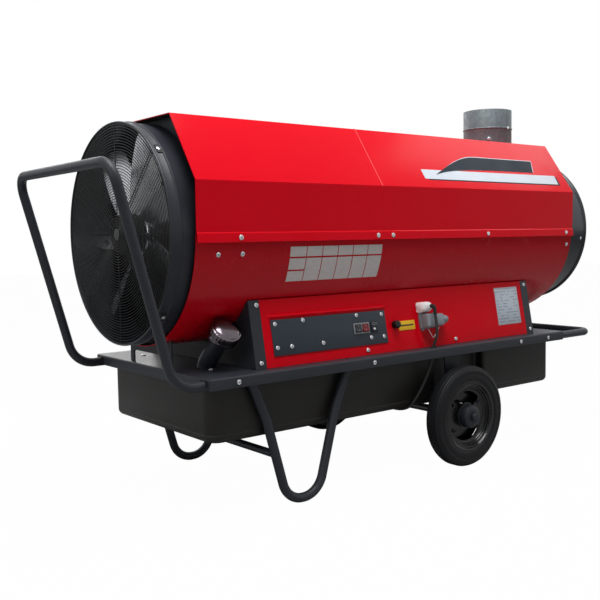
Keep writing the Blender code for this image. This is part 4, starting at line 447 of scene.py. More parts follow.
powder_black = mottled("powder_black", (37, 40, 46), (46, 49, 56), 0.42, patch=7, grain=1600, depth=0.14)
bright_zinc = mottled("bright_zinc", (205, 206, 208), (168, 170, 174), 0.26, 1.0, patch=160)
soft_black = mottled("soft_black", (24, 24, 25), (34, 34, 35), 0.6, patch=60, grain=1100, depth=0.15)
tray_back, tray_front, tray_side, tray_top = -0.615, 0.632, 0.278, 0.321
tube_y = 0.249
filler_hole, grommet_place, line_hole = (-0.5297, -0.122, 0), (0.078, -0.262, 0), (-0.16, 0.06, 0)
fold = [(0.004 * (1 - np.sin(t)), tray_top - 0.004 * (1 - np.cos(t))) for t in np.linspace(0, np.pi / 2, 6)]
tray_rows = [*fold, (0.0, 0.2964), (0.0004, 0.296), (0.0025, 0.296), (0.0025, 0.3165), (0.0045, 0.3185)]
tray = skin(layered(oblong(tray_back, -tray_side, tray_front, tray_side), 0.007, tray_rows))
holes = ((0.0235, filler_hole, 48), (0.0075, grommet_place, 32), (0.0043, line_hole, 24))
cuts = [skin(revolve([(radius, 0.28), (radius, 0.34)], place, Z, steps)) for radius, place, steps in holes]
notch = oblong(-0.012, -0.0135, 0.012, 0.0135)
for x in (tray_back, tray_front):
    for y in (-tube_y, tube_y):
        cuts.append(skin(np.array([[(x + a, y + b, z) for a, b in notch] for z in (0.28, 0.3155)])))
corner_cut = [[(0.6236, y, 0.2955), (0.6340, y, 0.2955), (0.6340, y, 0.3110)] for y in (-0.3, 0.3)]
cuts.append(skin(np.array(corner_cut)))
piece("platform_tray", tray, powder_black, "platform", cuts=cuts)
rail_screws = [(x, y, 0.308) for x in (-0.5453, -0.1486, 0.4220, 0.5506) for y in (-tray_side, tray_side)]
top_screws = [(-0.5404, -0.160, tray_top), (-0.5404, 0.160, tray_top)]
driven = heads(rail_screws, [(0, math.copysign(1, y), 0) for _, y, _ in rail_screws])
piece("platform_screws", together(driven, heads(top_screws, Z, 0.006)), bright_zinc)
grommet = [(0.0046, 0.3235), (0.0062, 0.3245), (0.0080, 0.3235), (0.0084, 0.3213), (0.0072, 0.3213)]
grommet += [(0.0072, 0.3182), (0.0084, 0.3182), (0.0080, 0.3160), (0.0046, 0.3165)]
piece("cord_grommet", skin(revolve(grommet, grommet_place, Z, 32), "joined"), soft_black)


# Tubes: the push handle round the inlet end, the tow bar at the outlet end, two leg loops and their cross
# brace. All are bent from 22 mm steel tube, the brace from 18 mm, and powder-coated like the platform.
tube_radius, brace_radius, tube_level = 0.011, 0.009, 0.3042
handle = [(-0.522, -tube_y, tube_level), (-0.686, -tube_y, tube_level), (-0.8111, -tube_y, 0.768)]
handle += [(x, -y, z) for x, y, z in handle[::-1]]
tow = [(0.400, -tube_y, tube_level), (0.8043, -tube_y, tube_level)]
tow += [(x, -y, z) for x, y, z in tow[::-1]]
leg = [(-0.5021, 0.3182), (-0.4544, 0.208), (-0.3992, 0.011), (-0.307, 0.011), (-0.2518, 0.208)]
leg += [(-0.2041, 0.3182)]
near_leg, far_leg = ([(x, y, z) for x, z in leg] for y in (-tube_y, tube_y))
for name, corners, radii in (
    ("push_handle", handle, [0, 0.065, 0.045, 0.045, 0.065, 0]),
    ("tow_bar", tow, [0, 0.034, 0.034, 0]),
    ("support_leg_near", near_leg, [0, 0.12, 0.058, 0.058, 0.12, 0]),
    ("support_leg_far", far_leg, [0, 0.12, 0.058, 0.058, 0.12, 0]),
    ("leg_cross_brace", [(-0.4314, y, 0.126) for y in (-0.2377, -0.1, 0.1, 0.2377)], [0, 0, 0, 0]),
):
    radius = brace_radius if name == "leg_cross_brace" else tube_radius
    bent = tube(rounded(corners, radii, steps=14), radius, 28)
    piece(f"{name}_tube", skin(bent), powder_black, name)


# Axle and wheels. A steel rod hangs in two plates under the platform. Each wheel has a pressed black steel
# rim of stepped rings with a second half behind its windows, a solid rubber tyre, a boss, four black bolts
# and an end nut.
axle_x, axle_z, axle_half = 0.168, 0.134, 0.3258
plain_steel = mottled(
    "plain_steel", (120, 121, 124), (92, 92, 95), 0.42, 1.0, patch=60, grain=800, depth=0.08
)
tyre_rubber = mottled(
    "tyre_rubber", (11, 12, 15), (17, 18, 21), 0.50, patch=25, grain=1500, depth=0.24, shine=0.16
)
rim_black = mottled("rim_black", (9, 10, 12), (13, 14, 17), 0.26, patch=30, grain=1200, depth=0.06, coat=0.2)
boss_black = mottled("boss_black", (34, 36, 42), (26, 28, 33), 0.45, patch=50, grain=1400, depth=0.15)
axle_rod = tube([(axle_x, y, axle_z) for y in (-axle_half, -0.2, 0, 0.2, axle_half)], 0.010, 32)
piece("axle_rod", skin(axle_rod), plain_steel, "axle")
tread = [(0.0948, 0.0205), (0.0966, 0.0219), (0.1010, 0.0225), (0.1100, 0.0225), (0.1128, 0.0216)]
tread += [(0.1150, 0.0216), (0.1172, 0.0225), (0.1200, 0.0222), (0.1238, 0.0208), (0.1262, 0.0196)]
tread += [(0.1272, 0.0180), (0.1290, 0.0178), (0.1306, 0.0166), (0.1318, 0.0146), (0.1322, 0.0128)]
tread += [(0.1306, 0.0122), (0.1306, 0.0110), (0.1334, 0.0104), (0.1340, 0.0090), (0.1340, 0.0030)]
tread += [(r, -a) for r, a in tread[::-1]]
disc = [(0.0945, 0.0205), (0.0945, -0.0205), (0.0865, -0.0205), (0.0745, 0.0), (0.030, 0.0), (0.030, -0.020)]
disc += [(0.0103, -0.020), (0.0103, 0.0280), (0.0270, 0.0260), (0.0298, 0.0230), (0.0298, 0.0052)]
disc += [(0.0312, 0.0040), (0.0690, 0.0040), (0.0705, 0.0048), (0.0715, 0.0062), (0.0740, 0.0064)]
disc += [(0.0752, 0.0080), (0.0760, 0.0100), (0.0790, 0.0104), (0.0802, 0.0122), (0.0808, 0.0150)]
disc += [(0.0840, 0.0156), (0.0852, 0.0180), (0.0862, 0.0200), (0.0880, 0.0210), (0.0905, 0.0210)]
disc += [(0.0925, 0.0208)]
boss = [(0.0106, 0.0300), (0.0106, 0.0306), (0.0178, 0.0306), (0.0200, 0.0300), (0.0262, 0.0285)]
boss += [(0.0292, 0.0262), (0.0302, 0.0230), (0.0302, 0.0045), (0.0302, 0.0042), (0.0300, 0.0042)]
boss += [(0.0106, 0.0042)]
rim_back = [(0.0306, -0.0195), (0.0306, -0.0180), (0.0560, -0.0150), (0.0800, -0.0180), (0.0840, -0.0195)]
hexagon = [(0.0125 * math.cos(t), 0.0125 * math.sin(t)) for t in np.radians(np.arange(30, 390, 60))]
nut = layered(hexagon, 0.0008, [(0.0012, 0.3195), (0.0, 0.3203), (0.0, 0.3275), (0.0012, 0.3290)], 3)
nut_end = revolve([(0.0088, 0.3290), (0.0080, 0.3296), (0.0060, 0.33), (0, 0.33)], (0, 0, 0), Z, 24)
for side, out in (("near", -1), ("far", 1)):
    body, centre, axis = f"wheel_{side}", (axle_x, 0.289 * out, axle_z), (0, out, 0)
    windows = []
    for middle in (90, -90):
        turn = np.radians(np.linspace(middle - 48, middle + 48, 15))
        edges = ((turn, 0.066), (turn[::-1], 0.036))
        arcs = [np.stack([np.cos(t), 0 * t, np.sin(t)], 1) * r for t, r in edges]
        windows.append(skin(np.stack([np.vstack(arcs) + centre + y * Y for y in (-0.01, 0.012)])))
    bolt_turns = np.radians([35, 145, 215, 325])
    bolts = [np.array(centre) + (0.058 * math.cos(t), out * 0.0042, 0.058 * math.sin(t)) for t in bolt_turns]
    rings = ((tread, 96), (disc, 96), (boss, 64), (rim_back, 64))
    tyre, rim, cap, back = (skin(revolve(profile, centre, axis, steps), "joined") for profile, steps in rings)
    piece(f"wheel_tyre_{side}_rubber", tyre, tyre_rubber, f"wheel_tyre_{side}", body, sharp=50)
    rim_name = f"wheel_rim_{side}"
    piece(f"{rim_name}_disc", rim, rim_black, rim_name, body, sharp=28, cuts=windows)
    piece(f"wheel_boss_{side}", cap, boss_black, body=body)
    piece(f"wheel_bolts_{side}", heads(bolts, axis, 0.006, 0.0045), boss_black, body=body)
    piece(f"wheel_back_{side}", back, rim_black, body=body)
    ends = [skin(grid[..., [0, 2, 1]] * (1, out, 1) + (axle_x, 0, axle_z)) for grid in (nut, nut_end)]
    piece(
        f"axle_nut_{side}_hexagon", together(*ends), boss_black, f"axle_nut_{side}", sharp=25
    )


# Filler neck and cap. A black-painted 42 mm tube leans out through the platform, with a wider collar at its
# mouth. The chrome cap is a domed shell with a fluted rim over a turned steel core that plugs the mouth.
def fluted(profile, place, axis, steps, rows, flutes, depth, power):
    """A revolved profile with flutes in some of its rows: the radius there is less by the share
    depth * (1/2 - 1/2 cos(flutes * turn)) ^ power."""
    turn = np.linspace(0, 2 * np.pi, steps, endpoint=False)[:, None]
    wave = np.zeros((len(profile), steps, 1))
    wave[rows] = (0.5 - 0.5 * np.cos(flutes * turn)) ** power
    spine = np.asarray(place, float) + np.array(profile)[:, 1, None, None] * unit(axis)
    return spine + (revolve(profile, place, axis, steps) - spine) * (1 - depth * wave)


chrome = mottled(
    "cap_chrome", (108, 100, 105), (84, 78, 82), 0.13, 1.0, patch=40, grain=300, depth=0.03, spread=0.03
)
mouth, lean = np.array([-0.5297, -0.2011, 0.4054]), np.array([0, -0.71934, 0.69466])
neck_corners = [(-0.5297, -0.122, 0.3142), (-0.5297, -0.122, 0.329), tuple(mouth)]
neck_line = rounded(neck_corners, [0, 0.024, 0], steps=12)
neck_line = np.vstack([neck_line[:-1], mouth - lean * 0.02, mouth])
neck_wall = np.concatenate([tube(neck_line, 0.021, 48), tube(neck_line, 0.019, 48)[::-1]])
collar = [(0.0214, -0.0140), (0.0295, -0.0140), (0.0305, -0.0130), (0.0305, -0.0085), (0.0296, -0.0080)]
collar += [(0.0296, -0.0068), (0.0305, -0.0063), (0.0305, -0.0010), (0.0297, -0.0003), (0.0190, -0.0003)]
collar += [(0.0190, -0.0140)]
neck = together(skin(neck_wall, "joined"), skin(revolve(collar, mouth, lean, 64), "joined"))
piece("filler_neck_tube", neck, powder_black, "filler_neck")
core = [(0, 0.0100), (0.0297, 0.0100), (0.0304, 0.0092), (0.0304, 0.0008), (0.0297, 0.0)]
core += [(0.0150, 0.0), (0.0150, -0.0150), (0.0140, -0.0160), (0, -0.0160)]
core = skin(revolve(core, mouth, lean, 64), "open")
piece("filler_cap_core_turned", core, plain_steel, "filler_cap_core", "cap_core")
shell = [(0, 0.0209), (0.0080, 0.0208), (0.0160, 0.0203), (0.0230, 0.0194), (0.0285, 0.0180)]
shell += [(0.0300, 0.0172), (0.0312, 0.0156), (0.0322, 0.0150), (0.0345, 0.0146), (0.0355, 0.0134)]
shell += [(0.0355, 0.0020), (0.0345, 0.0006), (0.0343, -0.0040), (0.0353, -0.0052), (0.0353, -0.0108)]
shell += [(0.0345, -0.0119), (0.0318, -0.0119), (0.0310, -0.0108), (0.0310, 0.0106), (0, 0.0106)]
shell = skin(fluted(shell, mouth, lean, 180, [9, 10], flutes=30, depth=0.036, power=2), "open")
piece("filler_cap_shell_fluted", shell, chrome, "filler_cap_shell", "cap_shell", sharp=48)


# Drum foot and plinth ends: the plate on two posts under the inlet end, and two saddle frames that carry
# the drum, with a black strip folded along each sloping side. Laser-cut sheet, powder-coated.
axis_z, saddle_radius, foot_half = 0.6265, 0.2588, 0.099


def bow(radius, first, last, steps=40):
    """Points (y, z) on a circle about the casing's axis, from one angle in degrees to another."""
    turn = np.radians(np.linspace(first, last, steps + 1))
    return np.stack([radius * np.cos(turn), axis_z + radius * np.sin(turn)], 1)


def along_x(outline, x0, x1):
    """An outline of (y, z) points carried along X."""
    outline = np.asarray(outline, float)
    return skin(np.stack([np.column_stack([np.full(len(outline), x), outline]) for x in (x0, x1)]))


def panel_heads(spots, side=-1, radius=0.0055):
    """Pan heads at spots on a side panel, driven square to it."""
    return heads(on_panel(spots, side), on_panel(Z, side) - on_panel(0 * Z, side), radius)


spread = math.degrees(math.asin(foot_half / saddle_radius))
posts = [(-foot_half, deck_z), (-0.081, deck_z), (-0.081, 0.3497)]
posts += [(-y, z) for y, z in posts[::-1]]
posts = rounded(posts, [0, 0, 0.006, 0.006, 0, 0], steps=5)
foot = along_x(np.vstack([bow(saddle_radius, 270 + spread, 270 - spread, 24), posts]), -0.6067, -0.6027)
piece("drum_foot_plate", foot, powder_black, "drum_foot", edge=0.0006)
saddle_foot, saddle_head, strip_thick = np.array([0.242, deck_z]), np.array([0.2131, 0.4748]), 0.002
meet = math.degrees(math.asin((axis_z - saddle_head[1]) / saddle_radius))
web_outline = [(-0.240, deck_z), (0.240, deck_z), (0.2125, 0.4746)]
web_outline += [*bow(saddle_radius, -meet, meet - 180, 48), (-0.2125, 0.4746)]
for name, x0, x1, web in (
    ("plinth_end_back", -0.4737, -0.4437, -0.4737),
    ("plinth_end_front", 0.500, 0.530, 0.528),
):
    shapes = [along_x(web_outline, web, web + strip_thick)]
    for sign in (-1, 1):
        low, high = saddle_foot * (sign, 1), saddle_head * (sign, 1)
        inset, raised = np.array([-sign * strip_thick, 0]), (0, strip_thick)
        outer, inner = low + inset, low + inset * 9
        shapes.append(along_x([low, high, high + inset, outer], x0, x1))
        shapes.append(along_x([outer, inner, inner + raised, outer + raised], x0, x1))
    piece(f"{name}_frame", together(*shapes), powder_black, name, edge=0.0005)
spots = [(-0.4525, 0.1445, 0), (-0.458, 0.0130, 0), (0.516, 0.1445, 0), (0.516, 0.0130, 0)]
piece("plinth_screws", together(panel_heads(spots), panel_heads(spots, 1)), bright_zinc)


# Side panels: red enamelled sheet between the plinth ends, turned in at the foot. The near one has a window
# behind the control plate, a pressed ledge above it, a threaded boss for the limit cap, and the power
# inlet's cut-out.
def enamel(name, colour, deep, rough=0.16, specular=0.06):
    """Gloss enamel over steel: two close reds in wide soft patches, a faint orange-peel in its height, and
    dust in fine specks that dull it a little. Where the surface faces the casing's axis, which is the
    inside, it is painted near black as painted shade: there the normal's dot product with the way out from
    the axis is below zero."""
    material, tree, shader = shader_of(name)
    place = node(tree, "TexCoord", {}, "Object")
    from_axis = {0: place, 1: (0, 1, 1), 2: (0, 0, -axis_z)}
    outwards = node(tree, "VectorMath", from_axis, operation="MULTIPLY_ADD")
    normal = place.node.outputs["Normal"]
    facing = node(tree, "VectorMath", {0: outwards, 1: normal}, "Value", operation="DOT_PRODUCT")
    inside = maths(tree, "LESS_THAN", facing, -0.06)
    red = blend(tree, noise(tree, place, 2.2, 3.0), tint(colour), tint(deep))
    dust = {"Value": noise(tree, place, 24.0, 9.0, 0.7), "From Min": 0.45, "From Max": 0.75}
    peel = {"Height": noise(tree, place, 210.0, 2.0), "Strength": 0.05, "Distance": 0.0008}
    finish = {
        # Painted shade: faces turned towards the casing's axis get a near-black colour.
        "Base Color": blend(tree, inside, red, tint((26, 24, 25))),
        "Roughness": node(tree, "MapRange", {**dust, "To Min": rough, "To Max": rough + 0.14}),
        "Normal": node(tree, "Bump", peel),
        "Specular IOR Level": specular,
    }
    feed(shader, finish)
    return material


panel_red = enamel("panel_red", (226, 2, 26), (214, 0, 22))
panel_back, panel_front, slope_length = -0.4434, 0.4997, 0.1562
panel_rows = [(0, -0.002), (0, -0.0004), (0.0004, 0)]
panel_sheet = layered(oblong(panel_back, 0.0, panel_front, slope_length), 0.0004, panel_rows, 2)
through = [(0, -0.004), (0, 0.004)]
window = layered(oblong(-0.4085, 0.037, -0.0755, 0.0955), 0.003, through, 3)
inlet = layered(oblong(0.0567, 0.0967, 0.0833, 0.1133), 0.001, through, 2)
foot_lip = ((0.2415, deck_z), (0.228, deck_z), (0.228, 0.3233), (0.2411, 0.3233))
for side, sign in (("near", -1), ("far", 1)):
    name = f"side_panel_{side}"
    cuts = [skin(on_panel(hole)) for hole in (window, inlet)] if side == "near" else ()
    piece(f"{name}_sheet", skin(on_panel(panel_sheet, sign)), panel_red, name, cuts=cuts)
    turned_in = [(sign * y, z) for y, z in foot_lip]
    piece(f"{name}_foot", along_x(turned_in, panel_back, panel_front), panel_red)
    spots = [(-0.1350, 0.012, 0), (0.1885, 0.012, 0)]
    piece(f"{name}_screws", panel_heads(spots, sign), bright_zinc)
ledge = [(0.1136, 0.0001), (0.1137, 0.0044), (0.1142, 0.0050), (0.1150, 0.0049)]
ledge += [(0.1180, 0.0032), (0.1206, 0.0014), (0.1220, 0.0001)]
swell = ((-0.4255, 0.1), (-0.4235, 0.7), (-0.4205, 1), (-0.0635, 1), (-0.0605, 0.7), (-0.0585, 0.1))
ledge = np.array([[(x, up, max(out * share, 0.00005)) for up, out in ledge] for x, share in swell])
piece("panel_ledge", skin(on_panel(ledge)), panel_red)
cap_place = (-0.033, 0.0675, 0)
cap_boss = on_panel(revolve([(0, 0.006), (0.0052, 0.006), (0.006, 0.0052), (0.006, 0.0)], cap_place, Z, 32))
piece("cap_boss_turned", skin(cap_boss, "last"), plain_steel)


# Casing: the lower drum, and two hoods that meet in a seam, folded from 2 mm sheet and enamelled red. Each
# hood's foot is joggled over the drum and screwed to it, and a pale pink strip along the hoods' lap is a
# painted highlight where the lapped edge catches the light.
def bent_sheet(line, thickness, x0, x1):
    """A sheet bent along a line of (y, z) points and carried along X: the line, and its copy moved by the
    thickness along its left-hand normals, divided at each point by the cosine of half the turn there."""
    line = np.asarray(line, float)
    way = unit(np.diff(line, axis=0))
    after = np.vstack([way, way[-1:]])
    middle = unit(np.vstack([way[:1], way]) + after)
    normal = np.stack([-middle[:, 1], middle[:, 0]], 1) / (middle * after).sum(1, keepdims=True)
    return along_x(np.vstack([line, (line + normal * thickness)[::-1]]), x0, x1)


hood_red = enamel("hood_red", (219, 4, 28), (207, 2, 24), rough=0.14)
# The drum's red is darker than the hoods' and panels' as painted shade: the same enamel, dimmed where the
# drum turns down away from the overhead light.
drum_red = enamel("drum_red", (196, 6, 26), (182, 4, 22), rough=0.20, specular=0.16)
# The outlet end plate's very dark red is painted shade: the casing's red enamel, dimmed as if shadowed in its
# recess.
end_plate_painted_shade_red = enamel("end_plate_painted_shade_red", (90, 6, 14), (70, 4, 10), rough=0.4)
# The lap strip's pale pink is a painted highlight: the red enamel as it looks where the lapped edge catches
# the light.
lap_painted_highlight = mottled("lap_painted_highlight", (250, 96, 100), (244, 76, 82), 0.30, patch=40, depth=0.04)
drum_radius, casing_back, casing_front, flue_place = 0.2585, -0.6307, 0.6932, (0.6162, 0, 0)
drum = bent_sheet(bow(drum_radius, 180.33, 359.67, 120), 0.002, casing_back, casing_front)
piece("lower_drum_sheet", drum, drum_red, "lower_drum")
hood_line = [(-0.2655, 0.6058), (-0.2634, 0.6252), (-0.2612, 0.6272), (-0.2627, 0.7361), (-0.1622, 0.8836)]
hood_line += [(-y, z) for y, z in hood_line[::-1]]
hood_line = rounded(hood_line, [0, *[0.0006] * 2, *[0.0035] * 4, *[0.0006] * 2, 0], steps=6)
flue_hole = skin(revolve([(0.0753, 0.80), (0.0753, 0.92)], flue_place, Z, 96))
halves = (("hood_back", casing_back, -0.10085, ()), ("hood_front", -0.10055, casing_front, [flue_hole]))
for name, x0, x1, cuts in halves:
    piece(f"{name}_sheet", bent_sheet(hood_line, -0.002, x0, x1), hood_red, name, cuts=cuts)
# Painted highlight: a thin pale strip standing on the hoods' lap.
lap_edge = bent_sheet(hood_line[hood_line[:, 1] > 0.72], 0.0007, -0.1018, -0.1000)
piece("hood_lap_painted_highlight", lap_edge, lap_painted_highlight)
on_flange = [(x, y, 0.6155) for x in (-0.5221, -0.1189, -0.0688, 0.2947, 0.6567) for y in (-0.2640, 0.2640)]
drum_y, drum_z = bow(drum_radius, 190.37, 190.37, 0)[0]
on_drum = [(x, y, drum_z) for y in (drum_y, -drum_y) for x in (-0.575, -0.513, 0.672)]
flange_heads = heads(on_flange, [(0, math.copysign(1, y), 0.05) for _, y, _ in on_flange], 0.0058)
drum_heads = heads(on_drum, [(0, y, z - axis_z) for _, y, z in on_drum])
piece("casing_screws", together(flange_heads, drum_heads), bright_zinc)
plate_outline = [(0.2604, 0.6312), (0.2604, 0.7351), (0.1612, 0.8813)]
plate_outline += [(-y, z) for y, z in plate_outline[::-1]]
plate_outline = np.vstack([plate_outline, bow(0.2562, 180, 360, 60)])
for name, x, radius, paint in (
    # The inlet end plate's black is painted shade: the plate stands recessed and shadowed behind the inlet
    # ring.
    ("inlet_end_plate", -0.6007, 0.2508, powder_black),
    ("outlet_end_plate", 0.6912, 0.2238, end_plate_painted_shade_red),
):
    cut = skin(revolve([(radius, x - 0.01), (radius, x + 0.012)], axis_z * Z, X, 96))
    piece(f"{name}_sheet", along_x(plate_outline, x, x + 0.002), paint, name, cuts=[cut])


# Air rings: two short ducts rolled from sheet and powder-coated. The inlet's has a rolled lip and a bead,
# and holds the fan guard with four clips; the outlet's is narrower, with a heavier lip and a lap joint that
# two screws close.
def swell_of(radius, start, height, length):
    """A rounded bead in a wall: radius + height (1 - cos t) / 2, while the place falls evenly by its
    length."""
    turns = np.linspace(0, 2 * math.pi, 9)
    return [(radius + height * (0.5 - 0.5 * math.cos(t)), start - length * t / (2 * math.pi)) for t in turns]


def duct_profile(radius, lip, depth, bead=0.0):
    """(radius, out) points of a duct: its rolled lip, a bead, the wall, and back along its bore."""
    turns = np.linspace(0, math.pi, 9)
    roll = [(radius - 0.0025 + lip * 0.5 * (1 - math.cos(t)), lip / 2 * math.sin(t)) for t in turns]
    roll += [(radius + lip / 2, -lip * 0.3), (radius + lip * 0.45, -lip * 0.7), (radius, -lip)]
    swage = swell_of(radius, -0.019, bead, 0.008) if bead else []
    return [*roll, *swage, (radius, -depth), (radius - 0.0025, -depth)]


outlet_black = mottled(
    "outlet_black", (20, 21, 24), (42, 47, 56), 0.24, patch=5, grain=1600, depth=0.08, shine=0.4
)
inlet_ring = skin(revolve(duct_profile(0.2505, 0.004, 0.105, 0.003), (-0.6833, 0, axis_z), -X, 144), "joined")
piece("inlet_ring_duct", inlet_ring, powder_black, "inlet_ring", sharp=50)
strap_rows = [(0, -0.001), (0, 0.0016), (0.0005, 0.0021)]
strap = layered(oblong(-0.013, -0.007, 0.013, 0.007), 0.002, strap_rows, 3)
clips, clip_screws, ways = [], [], []
for turn in np.radians([45, 135, 225, 315]):
    radial = np.array([0, math.cos(turn), math.sin(turn)])
    base = np.array([-0.6672, 0, axis_z]) + radial * 0.2500
    clips.append(skin(base + strap @ np.array([np.cross(X, radial), X, radial])))
    clip_screws.append(base + radial * 0.0015)
    ways.append(radial)
piece("inlet_ring_clips", together(*clips), soft_black)
piece("inlet_ring_screws", heads(clip_screws, ways, 0.0052, 0.0018), bright_zinc)
outlet_ring = skin(revolve(duct_profile(0.2235, 0.007, 0.1286), (0.8186, 0, axis_z), X, 144), "joined")
piece("outlet_ring_duct", outlet_ring, outlet_black, "outlet_ring", sharp=50)
lap_edges = ((0.6950, 0.2236), (0.6950, 0.2254), (0.8080, 0.2254), (0.8080, 0.2236))
lap = np.stack([np.column_stack([np.full(9, x), bow(radius, 174, 190.5, 8)]) for x, radius in lap_edges], 1)
piece("outlet_ring_lap", skin(lap), outlet_black)
lap_spots = [(x, *bow(0.2254, 187.5, 187.5, 0)[0]) for x in (0.700, 0.795)]
piece("outlet_ring_screws", heads(lap_spots, (0, -1, -0.13), 0.0045, 0.002), bright_zinc)


# Flue stub: a 150 mm galvanised tube with a lengthwise seam, a raised bead round its middle and a screwed
# tab at its foot. The front hood is cut open under it.
def galvanised(name):
    """Hot-dip zinc: grey crystals, Voronoi cells with a grey and a roughness of their own, under fine
    dirt."""
    material, tree, shader = shader_of(name)
    place = node(tree, "TexCoord", {}, "Object")
    cells = node(tree, "TexVoronoi", {"Vector": place, "Scale": 130.0}, "Color")
    grey = node(tree, "SeparateColor", {0: cells})
    crystals = blend(tree, grey, tint((90, 104, 109)), tint((107, 120, 124)))
    dirt = noise(tree, place, 9.0, 8.0, 0.65, "Color")
    dull = node(tree, "MapRange", {"Value": grey.node.outputs[1], "To Min": 0.42, "To Max": 0.62})
    soiled = blend(tree, 0.35, crystals, dirt, blend_type="MULTIPLY")
    feed(shader, {"Base Color": soiled, "Roughness": dull, "Metallic": 0.15})
    return material


zinc = galvanised("galvanised_zinc")
stub = [(0.0735, 1.0015), (0.0739, 1.0021), (0.0746, 1.0021), (0.075, 1.0015)]
stub += [*swell_of(0.075, 0.9471, 0.002, 0.006), (0.075, 0.8816), (0.0735, 0.8816)]
stub = skin(revolve(stub, flue_place, Z, 120), "joined")
piece("flue_stub_tube", stub, zinc, "flue_stub", sharp=45)
tab_way, seam_way = (np.array([math.cos(t), math.sin(t), 0]) for t in np.radians([223, 272]))
tab = layered(oblong(-0.009, 0.8837, 0.009, 0.9190), 0.002, [(0, 0.0738), (0, 0.0752), (0.0005, 0.0757)], 3)
seam_rows = [(0, 0.0740), (0, 0.0753), (0.0006, 0.0757)]
seam = layered(oblong(-0.0022, 0.8837, 0.0022, 1.0010), 0.0008, seam_rows, 3)
strips = [
    skin(flue_place + strip @ np.array([np.cross(Z, way), Z, way]))
    for strip, way in ((tab, tab_way), (seam, seam_way))
]
piece("flue_tab_and_seam", together(*strips), zinc)
stub_screws = [flue_place + tab_way * 0.0755 + 0.9100 * Z, flue_place + seam_way * 0.0765 + 0.9440 * Z]
piece("flue_screws", heads(stub_screws, [tab_way, seam_way], 0.005, 0.0025), bright_zinc)


# Fan: a guard of fine black wire rings on eight spokes, doubled on the diagonals, clipped into the inlet
# ring; a finned motor on the guard's middle; and an aluminium impeller of seven broad cambered blades on
# the motor's shaft.
guard_black = mottled(
    "guard_black", (9, 11, 14), (15, 18, 22), 0.34, patch=40, grain=1200, depth=0.08, coat=0.1
)
guard_place, guard_radius, spoke_gap = np.array([-0.6813, 0, axis_z]), 0.2463, 0.0042
around_wire = np.linspace(0, 2 * np.pi, 7)[:-1]
shapes = []
for radius in np.append(np.linspace(0.0135, 0.2405, 38), guard_radius):
    thick = 0.0014 if radius > 0.24 else 0.0010
    wire = np.stack([radius + thick * np.cos(around_wire), thick * np.sin(around_wire)], 1)
    shapes.append(skin(revolve(wire, guard_place, -X, 96), "joined"))
for k in range(8):
    radial = np.array([0, math.cos(k * math.pi / 4), math.sin(k * math.pi / 4)])
    for shift in (-spoke_gap, spoke_gap) if k % 2 else (0.0,):
        start = guard_place + 0.0020 * X + np.cross(X, radial) * shift
        shapes.append(skin(tube([start + radial * r for r in (0.0125, 0.09, 0.17, guard_radius)], 0.0013, 8)))
middle = [(0, -0.0010), (0.0138, -0.0010), (0.0146, 0.0), (0.0138, 0.0010), (0.0060, 0.0014), (0, 0.0014)]
shapes.append(skin(revolve(middle, guard_place, -X, 48), "open"))
piece("fan_guard_wires", together(*shapes), guard_black, "fan_guard")
motor = [(0, 0.0), (0.030, 0.0), (0.0405, 0.0012), (0.0440, 0.0035), (0.0450, 0.0060)]
for fin in 0.0075 + 0.0052 * np.arange(7):
    motor += [(0.0460, fin), (0.0460, fin + 0.0022), (0.0432, fin + 0.0026), (0.0432, fin + 0.0048)]
motor += [(0.0455, 0.0452), (0.0440, 0.0460), (0.006, 0.0460), (0.006, 0.0760), (0, 0.0760)]
motor = skin(revolve(motor, (-0.6782, 0, axis_z), X), "open")
piece("fan_motor_case", motor, soft_black, "fan_motor")
brushed = mottled(
    "brushed_aluminium", (215, 217, 220), (190, 193, 198), 0.30, 1.0, 14, 240, depth=0.10, spread=0.08
)
hub = [(0.0063, 0.0), (0.0440, 0.0), (0.0500, 0.0020), (0.0520, 0.0050), (0.0520, 0.0200), (0.0505, 0.0235)]
hub += [(0.0485, 0.0240), (0.0350, 0.0240), (0.0330, 0.0200), (0.0180, 0.0200), (0.0165, 0.0240)]
hub += [(0.0063, 0.0240)]
shapes = [skin(revolve(hub, (-0.6313, 0, axis_z), X), "joined")]
# A blade: its radius grows with its share of the reach. Across the chord the sheet is swept forward by 0.3
# times the square of the reach, pitched 36 to 26 degrees and bowed by up to 6.5 mm, and its outer corners
# are rounded.
blade_x, blade_root, blade_length, blade_half = -0.6193, 0.0484, 0.1901, 0.0008
reach, over_chord = np.linspace(0, 1, 22)[:, None], np.linspace(-1, 1, 13)
radius = blade_root + blade_length * reach
chord = 0.034 + 0.0085 * np.sin(np.pi * np.clip(reach, 0, 0.9) / 1.1)
chord = chord * np.sqrt(1 - 0.45 * np.clip((reach - 0.86) / 0.14, 0, 1) ** 2)
pitch, lay = np.radians(36 - 10 * reach), chord * over_chord
camber = 0.0065 * (1 - over_chord**2) * (0.6 + 0.4 * reach)
around = lay * np.cos(pitch) + camber * np.sin(pitch) + 0.3 * (blade_length * reach) ** 2
along = blade_x + 0.92 * (lay * np.sin(pitch) - camber * np.cos(pitch))
for k in range(7):
    turn = 2 * np.pi * k / 7 + around / radius
    y, z = radius * np.cos(turn), axis_z + radius * np.sin(turn)
    front, back = (np.stack([along + off, y, z], -1) for off in (-blade_half, blade_half))
    shapes.append(skin(np.concatenate([front, back[:, ::-1]], 1)))
piece("fan_impeller_blades", together(*shapes), brushed, "fan_impeller", "fan", sharp=40)


